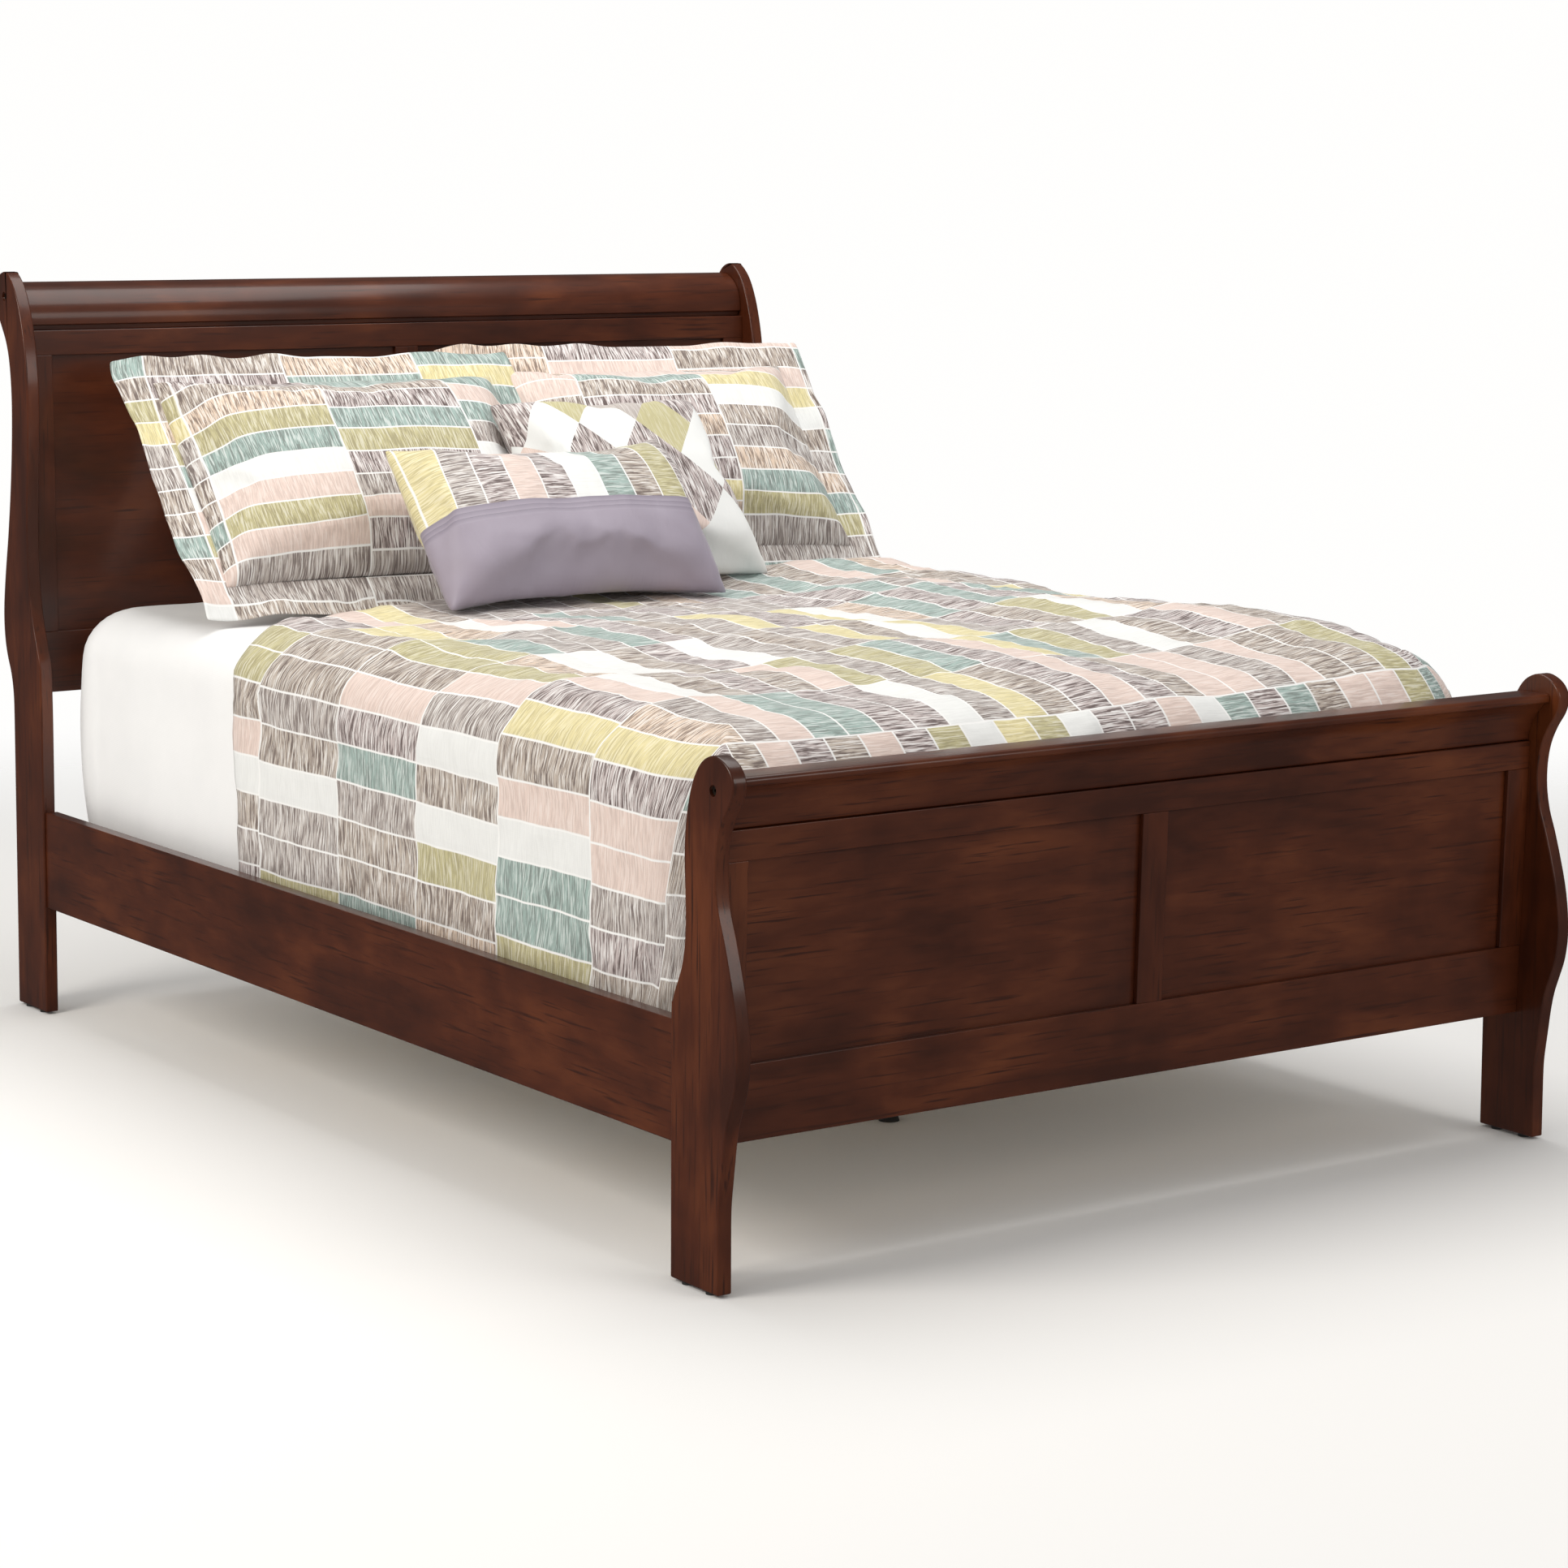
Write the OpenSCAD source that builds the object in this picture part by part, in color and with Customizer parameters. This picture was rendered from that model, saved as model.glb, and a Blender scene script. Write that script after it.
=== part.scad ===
// Sleigh bed: scrolled posts, panelled headboard and footboard, hook-on side rails,
// slats with centre supports, a foundation, a mattress and its bedding.
// +X is the width, -Y the foot end, +Y the head end and +Z up.
// The origin is on the floor, under the middle of the bed.

/* [Overall] */
// Width over the outer faces of the posts
bed_w = 1475; // [1300:5:1800]
// Distance between the legs, which a side rail fills
rail_len = 1911; // [1700:1:2300]

/* [Posts] */
// Thickness of a post board
post_t = 22; // [20:1:32]
// Depth of the straight leg, front to back
leg_d = 110; // [100:1:135]
// Height of a head post
head_h = 1238; // [1120:1:1500]
// Height where a head post starts to curve
head_leg_h = 490; // [400:1:520]
// Height of a foot post
foot_h = 697; // [660:1:840]
// Height where a foot post starts to curve
foot_leg_h = 110; // [60:1:130]
// Thickness of a floor glide
glide_h = 4; // [2:0.5:8]
// Radius of a floor glide
glide_r = 9; // [7:0.5:10]

/* [Panelled boards] */
// Thickness of a board's rails and stiles
frame_t = 22; // [18:1:26]
// Width of an outer stile
stile_w = 42; // [30:1:70]
// Width of the middle stile
centre_stile_w = 45; // [30:1:70]
// Height of a board's upper rail
top_rail_h = 41; // [36:1:70]
// Height of a board's lower rail
bottom_rail_h = 102; // [70:1:130]
// Thickness of a panel
panel_t = 6; // [4:0.5:8]
// Depth of the groove that holds a panel
groove_d = 8; // [5:1:10]
// Underside of the headboard above the floor
head_board_z = 535; // [500:1:620]
// Underside of the footboard above the floor
foot_board_z = 188; // [150:1:230]
// Lean of the headboard away from the mattress, in degrees
head_lean = 0.95; // [0:0.05:1.5]
// Lean of the footboard away from the mattress, in degrees
foot_lean = 1.85; // [0:0.05:2.2]
// How far the headboard's face lies behind the legs' faces
head_set = 65; // [60:1:68]
// How far the footboard's inner face lies behind the legs' faces
foot_set = 49; // [40:1:52]

/* [Mouldings] */
// Drop from a head post's top to the roll
roll_drop = 18; // [10:1:30]
// Height of the headboard roll
roll_h = 70; // [60:1:80]
// Radius of the roll's face
roll_r = 61; // [50:1:64]
// Height of the shadow gap under the roll
roll_gap = 9; // [4:1:14]
// Drop from a foot post's top to the footboard cap
cap_drop = 27; // [18:1:36]
// Radius of the cap's nose
nose_r = 7; // [5:0.5:9]
// Depth of the hollow under the nose
cove_depth = 6; // [3:0.5:9]

/* [Side rails] */
// Thickness of a side rail
rail_t = 22; // [18:1:28]
// Height of a side rail
rail_h = 161; // [140:1:200]
// Underside of a side rail above the floor
rail_z = 182; // [150:1:220]
// How far a rail's face lies inside the posts' faces
rail_inset = 4; // [2:0.5:6]
// Thickness of the ledger under the slats
ledger_t = 22; // [16:1:24]
// Height of the ledger
ledger_h = 35; // [25:1:50]

/* [Slats and supports] */
// How many slats carry the foundation
slat_count = 5; // [5, 7]
// Width of a slat
slat_w = 90; // [60:1:120]
// Thickness of a slat
slat_t = 18; // [15:1:25]
// Side of a square support leg
support_w = 40; // [34:1:60]
// Travel of a levelling foot
foot_travel = 15; // [5:1:20]

/* [Hardware] */
// Width of a rail hook plate
plate_w = 12; // [10:0.5:13]
// Height of a rail hook plate
plate_h = 124; // [110:1:135]
// Thickness of a rail hook plate
plate_t = 3; // [2:0.5:4]
// Radius of a scroll bolt's shank
bolt_r = 3; // [2:0.5:4]
// Radius of the counterbore over a scroll bolt
bolt_cup_r = 7.5; // [6:0.5:10]
// Radius of a joint dowel
dowel_r = 4; // [3:0.5:5]
// Clearance of a piece in its seat
fit = 0.25; // [0.1:0.05:0.4]

/* [Foundation and mattress] */
// Width of the mattress and of the foundation
mattress_w = 1372; // [1200:1:1400]
// Length of the mattress and of the foundation
mattress_l = 1905; // [1690:1:1920]
// Height of the foundation
foundation_h = 200; // [120:1:240]
// Height of the mattress
mattress_h = 248; // [180:1:300]
// Radius of the mattress corners in plan
mattress_r = 70; // [40:1:110]

/* [Bedding] */
// Thickness of the sheet
sheet_t = 1.5; // [1:0.5:3]
// Thickness of the comforter on top
comforter_t = 32; // [15:1:50]
// Thickness of the comforter where it is tucked in
tuck_t = 16; // [8:1:18]
// Length of bed, from its middle to the head, that the comforter covers
comforter_head = 400; // [250:1:450]
// Height of the comforter's and the sheet's tucked edge
tuck_z = 300; // [260:1:330]
// Width of a flanged sham
sham_w = 725; // [600:1:740]
// Height of a flanged sham
sham_h = 535; // [450:1:560]
// Thickness of a filled sham
sham_t = 130; // [80:1:150]
// Side of the square cushion
square_w = 415; // [350:1:440]
// Thickness of the square cushion
square_t = 80; // [60:1:90]
// Width of the oblong cushion
oblong_w = 565; // [450:1:600]
// Height of the oblong cushion
oblong_h = 325; // [250:1:340]
// Thickness of the oblong cushion
oblong_t = 95; // [70:1:110]
// Width of a sleeping pillow
pillow_w = 580; // [500:1:600]
// Height of a sleeping pillow
pillow_h = 380; // [300:1:400]
// Thickness of a sleeping pillow
pillow_t = 105; // [80:1:110]

/* [Hidden] */
$fn = 48;

// The curve of a post above its straight leg, from the mattress side over the scroll
// and down the outer side: shares of the leg's depth and of the curved height.
HEAD_CURVE = [
    [0, -0.06], [0, 0], [0.01, 0.08], [0.03, 0.13], [0.11, 0.165], [0.24, 0.215],
    [0.335, 0.268], [0.395, 0.335], [0.413, 0.415], [0.382, 0.52], [0.325, 0.63],
    [0.31, 0.71], [0.335, 0.78], [0.42, 0.85], [0.56, 0.915], [0.735, 0.963],
    [0.93, 0.991], [1.09, 1], [1.28, 0.992], [1.42, 0.972], [1.482, 0.946],
    [1.425, 0.918], [1.24, 0.882], [1.06, 0.842], [0.955, 0.795], [0.9, 0.722],
    [0.918, 0.628], [0.99, 0.521], [1.105, 0.414], [1.235, 0.32], [1.31, 0.243],
    [1.295, 0.184], [1.215, 0.14], [1.085, 0.099], [1.015, 0.055], [1, 0], [1, -0.06]
];
FOOT_CURVE = [
    [0, -0.1], [0, 0], [0, 0.2], [0, 0.4], [0.035, 0.446], [0.12, 0.482], [0.21, 0.518],
    [0.275, 0.565], [0.3, 0.622], [0.29, 0.69], [0.272, 0.758], [0.285, 0.82],
    [0.345, 0.882], [0.445, 0.937], [0.62, 0.981], [0.86, 1], [1.07, 0.992],
    [1.22, 0.971], [1.28, 0.942], [1.225, 0.907], [1.085, 0.868], [0.975, 0.824],
    [0.92, 0.772], [0.92, 0.714], [0.98, 0.657], [1.09, 0.603], [1.21, 0.535],
    [1.31, 0.468], [1.37, 0.4], [1.382, 0.344], [1.335, 0.285], [1.245, 0.237],
    [1.165, 0.196], [1.11, 0.15], [1.055, 0.08], [1.01, 0.02], [1, -0.03], [1, -0.1]
];
CURVE_STEPS = 4;
// Where the scroll's centre lies, in the same shares
HEAD_EYE = [1.09, 0.945];
FOOT_EYE = [0.87, 0.924];

function spline(a, b, c, d, t) =
    0.5 * (2 * b + (c - a) * t + (2 * a - 5 * b + 4 * c - d) * t * t
           + (3 * b - a - 3 * c + d) * t * t * t);
function smooth(p) = [
    for (i = [1 : len(p) - 3]) for (k = [0 : CURVE_STEPS - 1])
        spline(p[i - 1], p[i], p[i + 1], p[i + 2], k / CURVE_STEPS),
    p[len(p) - 2]
];
// Shares to millimetres: depth behind the leg's mattress-side face, and height
function placed(p, leg_h, top) = [p[0] * leg_d, leg_h + p[1] * (top - leg_h)];
function post_curve(shares, leg_h, top) = [for (p = smooth(shares)) placed(p, leg_h, top)];
function reach(curve) = max([for (p = curve) p[0]]);

head_curve = post_curve(HEAD_CURVE, head_leg_h, head_h);
foot_curve = post_curve(FOOT_CURVE, foot_leg_h, foot_h);
head_eye = placed(HEAD_EYE, head_leg_h, head_h);
foot_eye = placed(FOOT_EYE, foot_leg_h, foot_h);

// Places of the legs' mattress-side faces, with the whole length centred on the origin
bed_l = reach(foot_curve) + rail_len + reach(head_curve);
foot_y = -bed_l / 2 + reach(foot_curve);
head_y = foot_y + rail_len;
inner_w = bed_w - 2 * post_t;
post_x = bed_w / 2 - post_t / 2;

// Boards
roll_z = head_h - roll_drop - roll_h;
head_frame_h = (roll_z - roll_gap - head_board_z) / cos(head_lean);
cap_z = foot_h - cap_drop;
cove_h = 66;
nose_past_eye = 19.5;
foot_frame_h = (cap_z - cove_h - nose_r - foot_board_z) / cos(foot_lean);
panel_w = (inner_w - 2 * stile_w - centre_stile_w) / 2;
dowel_l = 30;
SIDES = [-1, 1];

// Rails and what they carry
rail_x = bed_w / 2 - rail_inset - rail_t / 2;
rail_in_x = rail_x - rail_t / 2;
rail_end_gap = 0.5;
rail_mid_z = rail_z + rail_h / 2;
slat_z = rail_z + 2 + ledger_h;
slat_top = slat_z + slat_t;
slat_l = 2 * rail_in_x - 4;
slat_pitch = (mattress_l - 2 * slat_w) / (slat_count - 1);
mattress_y = (foot_y + head_y) / 2 + 4;
mid_slat = (slat_count - 1) / 2;
SUPPORT_SLATS = [mid_slat - 1, mid_slat, mid_slat + 1];
plate_x = (rail_x + rail_t / 2 + bed_w / 2 - post_t) / 2;
HOOKS = [-28, 28];
hook_neck_h = 12;
hook_drop = 8;
hook_tip_t = 4;
hook_t = 3;
screw_r = 1.8;
screw_head_r = 3.4;
screw_l = 20;
screw_edge = 9;

// Levelling feet
pad_r = 16;
pad_h = 8;
collar_h = 5;
stem_r = 4;
stem_l = 42;
stem_fit = 0.05;
insert_r = 6.5;
insert_l = 22;
support_z = pad_h + collar_h + 0.3;

// Soft goods
foundation_z = slat_top;
mattress_z = foundation_z + foundation_h;
bed_top = mattress_z + mattress_h;
soft_gap = 0.6;
sheet_top = bed_top + sheet_t;
comforter_top = sheet_top + comforter_t;

wood = "saddlebrown";
pale_wood = "burlywood";
steel = "silver";

// Puts a piece in an end's own frame: +Y runs outwards from the legs' mattress-side faces
module head_end() { translate([0, head_y, 0]) children(); }
module foot_end() { translate([0, foot_y, 0]) mirror([0, 1, 0]) children(); }

// A profile of depth and height, drawn out along X and centred
module across(length) { rotate([90, 0, 90]) linear_extrude(length, center = true) children(); }

// A board leans outwards about its lower inner edge
module head_board() { head_end() translate([0, head_set, head_board_z]) rotate([-head_lean, 0, 0]) children(); }
module foot_board() { foot_end() translate([0, foot_set, foot_board_z]) rotate([-foot_lean, 0, 0]) children(); }

module rod_x(r, length) { rotate([0, 90, 0]) cylinder(r = r, h = length, center = true); }

// Dowels that join one board's rails to the posts
module board_dowels(frame_h, r, length) {
    for (side = SIDES, z = [bottom_rail_h * 0.25, bottom_rail_h * 0.75, frame_h - top_rail_h / 2])
        translate([side * inner_w / 2, frame_t / 2, z]) rod_x(r, length);
}

// Pocket for a slot plate, its hooks and its screws in a leg's mattress-side face
module plate_seat() {
    translate([0, 0, rail_mid_z]) {
        translate([-plate_w / 2 - fit, -1, -plate_h / 2 - fit])
            cube([plate_w + 2 * fit, 1 + plate_t + fit, plate_h + 2 * fit]);
        for (h = HOOKS) translate([-hook_t / 2 - 1, 0, h - 24]) cube([hook_t + 2, 16, 46]);
        plate_screws(screw_r + fit / 2, screw_l + 1);
    }
}
module plate_screws(r, length) {
    for (z = SIDES) translate([0, 0, z * (plate_h / 2 - screw_edge)])
        rotate([-90, 0, 0]) cylinder(r = r, h = length);
}

module post_holes(eye) {
    translate([post_x, eye[0], eye[1]]) rod_x(bolt_r + fit, 2 * post_t);
    translate([bed_w / 2, eye[0], eye[1]]) rod_x(bolt_cup_r, 16);
    translate([plate_x, 0, 0]) plate_seat();
    for (share = [0.25, 0.75]) translate([post_x, share * leg_d, glide_h - 1]) cylinder(r = 1.4, h = 22);
}
module post(curve, eye) {
    difference() {
        translate([post_x, 0, 0]) across(post_t)
            polygon(concat([[0, glide_h]], curve, [[leg_d, glide_h]]));
        post_holes(eye);
    }
}
module head_post(side) {
    color(wood) difference() {
        head_end() scale_x(side) post(head_curve, head_eye);
        head_board() board_dowels(head_frame_h, dowel_r + fit / 4, dowel_l + 1);
    }
}
module foot_post(side) {
    color(wood) difference() {
        foot_end() scale_x(side) post(foot_curve, foot_eye);
        foot_board() board_dowels(foot_frame_h, dowel_r + fit / 4, dowel_l + 1);
    }
}
// Mirrors a right-hand piece to the side that is asked for
module scale_x(side) { mirror([side < 0 ? 1 : 0, 0, 0]) children(); }

// A rail or stile with a groove for the panels along the edges that are asked for
module member(w, h, top = false, bottom = false, left = false, right = false) {
    gw = panel_t + 2 * fit;
    gd = groove_d + fit;
    difference() {
        translate([-w / 2, 0, 0]) cube([w, frame_t, h]);
        translate([0, frame_t / 2, 0]) {
            if (top) translate([0, 0, h]) cube([w + 2, gw, 2 * gd], center = true);
            if (bottom) cube([w + 2, gw, 2 * gd], center = true);
            if (left) translate([-w / 2, 0, h / 2]) cube([2 * gd, gw, h + 2], center = true);
            if (right) translate([w / 2, 0, h / 2]) cube([2 * gd, gw, h + 2], center = true);
        }
    }
}
module board_bottom_rail(frame_h) {
    difference() {
        member(inner_w, bottom_rail_h, top = true);
        board_dowels(frame_h, dowel_r + fit / 4, dowel_l + 1);
    }
}
module board_top_rail(frame_h) {
    difference() {
        translate([0, 0, frame_h - top_rail_h]) member(inner_w, top_rail_h, bottom = true);
        board_dowels(frame_h, dowel_r + fit / 4, dowel_l + 1);
    }
}
module board_stile(frame_h, side) {
    h = frame_h - top_rail_h - bottom_rail_h;
    translate([side * (inner_w - stile_w) / 2, 0, bottom_rail_h])
        member(stile_w, h, left = side > 0, right = side < 0);
}
module board_centre_stile(frame_h) {
    translate([0, 0, bottom_rail_h])
        member(centre_stile_w, frame_h - top_rail_h - bottom_rail_h, left = true, right = true);
}
module board_panel(frame_h, side) {
    h = frame_h - top_rail_h - bottom_rail_h + 2 * groove_d;
    translate([side * (centre_stile_w + panel_w) / 2, frame_t / 2, bottom_rail_h - groove_d + h / 2])
        cube([panel_w + 2 * groove_d, panel_t, h], center = true);
}

// Rolled top of the headboard: a round face, a crown and a back that follows the posts
module headboard_roll() {
    face = head_set + (roll_z - head_board_z) * tan(head_lean) + 5;
    mid = [face + roll_r, roll_z + roll_h - roll_r];
    back = head_eye[0] + 32;
    heel = face + 45;
    // The neck closes the shadow gap and meets the upper rail
    neck = [face + 7, face + frame_t - 2];
    color(wood) difference() {
        head_end() across(inner_w - 0.4) polygon(concat(
            [[neck[1], roll_z], [neck[1], roll_z - roll_gap], [neck[0], roll_z - roll_gap],
             [neck[0], roll_z], [face, roll_z]],
            [for (a = [180 : -6 : 96]) mid + roll_r * [cos(a), sin(a)]],
            [for (a = [90 : -15 : -30]) [back - 12 + 12 * cos(a), roll_z + roll_h - 12 + 12 * sin(a)]],
            [[heel, roll_z]]
        ));
        head_end() eye_holes(head_eye);
    }
}
// Footboard cap: a round nose, a flat top, a hollow under the nose and a straight back
module footboard_cap() {
    lean_u = (cap_z - cove_h - nose_r - foot_board_z) * tan(foot_lean);
    back = foot_set + lean_u;
    foot = [back + frame_t - 5, cap_z - cove_h - nose_r];
    nose = [foot_eye[0] + nose_past_eye, cap_z - nose_r];
    start = nose + nose_r * [cos(-105), sin(-105)];
    chord = foot - start;
    bow = cove_depth * [chord[1], -chord[0]] / norm(chord);
    color(wood) difference() {
        foot_end() across(inner_w - 0.4) polygon(concat(
            [[back, foot[1]]],
            [for (a = [180 : -15 : 90]) [back + 8 + 10 * cos(a), cap_z - 10 + 10 * sin(a)]],
            [for (a = [90 : -15 : -105]) nose + nose_r * [cos(a), sin(a)]],
            [for (i = [1 : 8]) start + chord * i / 8 + bow * 4 * (i / 8) * (1 - i / 8)]
        ));
        foot_end() eye_holes(foot_eye);
    }
}
// Holes for the scroll bolts and their inserts in the end grain of a moulding
module eye_holes(eye) {
    for (side = SIDES) translate([side * inner_w / 2, eye[0], eye[1]]) {
        rod_x(bolt_r + fit, 2 * 44);
        rod_x(5 + fit / 4, 2 * 20);
    }
}
module scroll_bolt() {
    seat = bed_w / 2 - 8;
    difference() {
        union() {
            translate([seat - 50, 0, 0]) rotate([0, 90, 0]) cylinder(r = bolt_r, h = 51);
            translate([seat + fit, 0, 0]) rotate([0, 90, 0]) cylinder(r = bolt_cup_r - 1.2, h = 4);
        }
        translate([seat + 2, 0, 0]) rotate([0, 90, 0]) cylinder(r = 2.3, h = 5, $fn = 6);
    }
}
module at_eyes() {
    for (side = SIDES) scale_x(side) {
        head_end() translate([0, head_eye[0], head_eye[1]]) children();
        foot_end() translate([0, foot_eye[0], foot_eye[1]]) children();
    }
}
module scroll_bolts() { color(steel) at_eyes() scroll_bolt(); }
module scroll_inserts() {
    color("goldenrod") at_eyes() translate([inner_w / 2 - 10.2, 0, 0]) difference() {
        rod_x(5, 19.4);
        rod_x(bolt_r + 0.05, 30);
    }
}
module frame_dowels() {
    color(pale_wood) {
        head_board() board_dowels(head_frame_h, dowel_r, dowel_l);
        foot_board() board_dowels(foot_frame_h, dowel_r, dowel_l);
    }
}
module at_legs() { for (side = SIDES) scale_x(side) { head_end() children(); foot_end() children(); } }
module floor_glides() {
    color("dimgray") at_legs() for (share = [0.25, 0.75]) translate([post_x, share * leg_d, 0]) {
        cylinder(r = glide_r, h = glide_h);
        cylinder(r = 1.2, h = glide_h + 18);
    }
}

// Moves a piece of a leg's frame to the end of the rail that meets the leg, facing it
module facing() { translate([0, -rail_end_gap, 0]) mirror([0, 1, 0]) children(); }
// A side rail, with seats for a hook plate and its screws in both ends
module side_rail(side) {
    color(wood) difference() {
        translate([side * rail_x, (foot_y + head_y) / 2, rail_mid_z])
            cube([rail_t, rail_len - 2 * rail_end_gap, rail_h], center = true);
        at_plates() facing() {
            translate([-plate_w / 2 - fit, -1, -plate_h / 2 - fit])
                cube([plate_w + 2 * fit, 1 + plate_t + fit, plate_h + 2 * fit]);
            plate_screws(screw_r + fit / 2, screw_l + 1);
        }
    }
}
module ledger(side) {
    color(pale_wood) translate([side * (rail_in_x - ledger_t / 2), mattress_y, slat_z - ledger_h / 2])
        difference() {
            cube([ledger_t, mattress_l, ledger_h], center = true);
            for (i = [0 : slat_count - 1]) translate([0, slat_offset(i), ledger_h / 2 - 17])
                cylinder(r = screw_r + fit / 2, h = 18);
        }
}
function slat_offset(i) = (i - mid_slat) * slat_pitch;

// The cone that a countersunk head fills, with its wide end flush with a plate's face
module screw_head(extra = 0) {
    cylinder(r1 = screw_head_r + extra, r2 = screw_r + extra, h = 2.2);
}
module plate_blank() {
    translate([-plate_w / 2, 0, -plate_h / 2]) cube([plate_w, plate_t, plate_h]);
}
module plate_heads(extra = 0) {
    for (z = SIDES) translate([0, -0.01, z * (plate_h / 2 - screw_edge)])
        rotate([-90, 0, 0]) screw_head(extra);
}
// Slot plate: its outer face is flush with the leg, +Y runs into the leg
module slot_plate() {
    difference() {
        plate_blank();
        for (h = HOOKS) translate([-hook_t / 2 - 0.5, -1, h - hook_neck_h / 2 - 0.4])
            cube([hook_t + 1, plate_t + 2, hook_neck_h + hook_drop + 1.2]);
        plate_heads(0.1);
        plate_screws(screw_r + 0.1, 10);
    }
}
// Hook plate: its outer face is flush with the rail's end, +Y runs into the rail
module hook_plate() {
    throat = rail_end_gap + plate_t + fit;
    difference() {
        plate_blank();
        plate_heads(0.1);
        plate_screws(screw_r + 0.1, 10);
    }
    for (h = HOOKS) translate([-hook_t / 2, 0, h]) {
        translate([0, -throat, -hook_neck_h / 2]) cube([hook_t, throat + 1, hook_neck_h]);
        translate([0, -throat - hook_tip_t, -hook_neck_h / 2 - hook_drop])
            cube([hook_t, hook_tip_t, hook_neck_h + hook_drop]);
    }
}
module at_plates() { at_legs() translate([plate_x, 0, rail_mid_z]) children(); }
module rail_hook_plates() {
    color(steel) at_plates() facing() hook_plate();
}
module post_slot_plates() { color(steel) at_plates() slot_plate(); }
module plate_screw_pair() {
    plate_screws(screw_r, screw_l);
    plate_heads();
}
module hook_screws() {
    color(steel) at_plates() {
        translate([0, 0.02, 0]) plate_screw_pair();
        facing() translate([0, 0.02, 0]) plate_screw_pair();
    }
}

module slat_place(i) { translate([0, mattress_y + slat_offset(i), slat_z]) children(); }
module slats() {
    color(pale_wood) for (i = [0 : slat_count - 1]) slat_place(i) difference() {
        translate([-slat_l / 2, -slat_w / 2, 0]) cube([slat_l, slat_w, slat_t]);
        for (side = SIDES) translate([side * (rail_in_x - ledger_t / 2), 0, slat_t])
            mirror([0, 0, 1]) {
                translate([0, 0, -0.01]) screw_head(0.1);
                cylinder(r = screw_r + 0.1, h = slat_t + 1);
            }
        if (i >= SUPPORT_SLATS[0] && i <= SUPPORT_SLATS[2]) translate([0, 0, slat_t])
            mirror([0, 0, 1]) {
                translate([0, 0, -0.01]) screw_head(0.1);
                cylinder(r = screw_r + 0.1, h = slat_t + 1);
            }
    }
}
module down_screw(length) {
    translate([0, 0, slat_t - 0.02]) mirror([0, 0, 1]) {
        cylinder(r = screw_r, h = length);
        screw_head();
    }
}
module slat_screws() {
    color(steel) for (i = [0 : slat_count - 1]) slat_place(i)
        for (side = SIDES) translate([side * (rail_in_x - ledger_t / 2), 0, 0]) down_screw(slat_t + 14);
}
module support_leg(i) {
    color(pale_wood) slat_place(SUPPORT_SLATS[i]) difference() {
        translate([-support_w / 2, -support_w / 2, support_z - slat_z])
            cube([support_w, support_w, slat_z - support_z]);
        translate([0, 0, support_z - slat_z - 1]) {
            cylinder(r = insert_r + fit / 4, h = insert_l + 1 + fit);
            cylinder(r = stem_r + 0.6, h = stem_l + 4);
        }
        translate([0, 0, -30]) cylinder(r = screw_r + 0.1, h = 31);
    }
}
module support_inserts() {
    color("goldenrod") for (i = [0 : 2]) slat_place(SUPPORT_SLATS[i])
        translate([0, 0, support_z - slat_z]) difference() {
            cylinder(r = insert_r, h = insert_l);
            translate([0, 0, -1]) cylinder(r = stem_r + stem_fit, h = insert_l + 2);
        }
}
module support_screws() {
    color(steel) for (i = [0 : 2]) slat_place(SUPPORT_SLATS[i]) down_screw(slat_t + 28);
}
// Round pad, six-sided collar and the smooth stem that stands for the thread
module levelling_foot(i) {
    color("dimgray") slat_place(SUPPORT_SLATS[i]) translate([0, 0, -slat_z]) {
        cylinder(r1 = pad_r, r2 = pad_r - 3, h = pad_h);
        cylinder(r = 8, h = pad_h + collar_h, $fn = 6);
        cylinder(r = stem_r, h = pad_h + stem_l);
    }
}

// A flat block with round corners in plan
module slab(w, l, h, r) {
    linear_extrude(h) {
        square([w - 2 * r, l], center = true);
        square([w, l - 2 * r], center = true);
        for (x = SIDES, y = SIDES) translate([x * (w / 2 - r), y * (l / 2 - r)]) circle(r);
    }
}
module foundation() {
    color("whitesmoke") translate([0, mattress_y, foundation_z])
        slab(mattress_w - 4, mattress_l - 4, foundation_h, mattress_r);
}
module mattress() {
    color("white") translate([0, mattress_y, mattress_z])
        slab(mattress_w, mattress_l, mattress_h, mattress_r);
}
module sheet() {
    grow = 2 * sheet_t;
    color("white") translate([0, mattress_y, 0]) difference() {
        translate([0, 0, tuck_z])
            slab(mattress_w + grow, mattress_l + grow, sheet_top - tuck_z, mattress_r + sheet_t);
        translate([0, 0, tuck_z - 1]) slab(mattress_w, mattress_l, bed_top - tuck_z + 1, mattress_r);
    }
}
// The comforter: a thick top, two sides and a foot tucked down inside the rails
module comforter() {
    grow = 2 * (sheet_t + 0.02);
    end = mattress_y + comforter_head;
    color("thistle") difference() {
        translate([0, mattress_y, tuck_z])
            slab(mattress_w + grow + 2 * tuck_t, mattress_l + grow + 4 * tuck_t,
                 comforter_top - tuck_z, mattress_r + tuck_t);
        translate([0, mattress_y, tuck_z - 1])
            slab(mattress_w + grow, mattress_l + grow, sheet_top + 0.02 - tuck_z + 1, mattress_r + sheet_t);
        translate([-bed_w, end, 0]) cube([2 * bed_w, bed_l, head_h]);
    }
}

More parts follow.
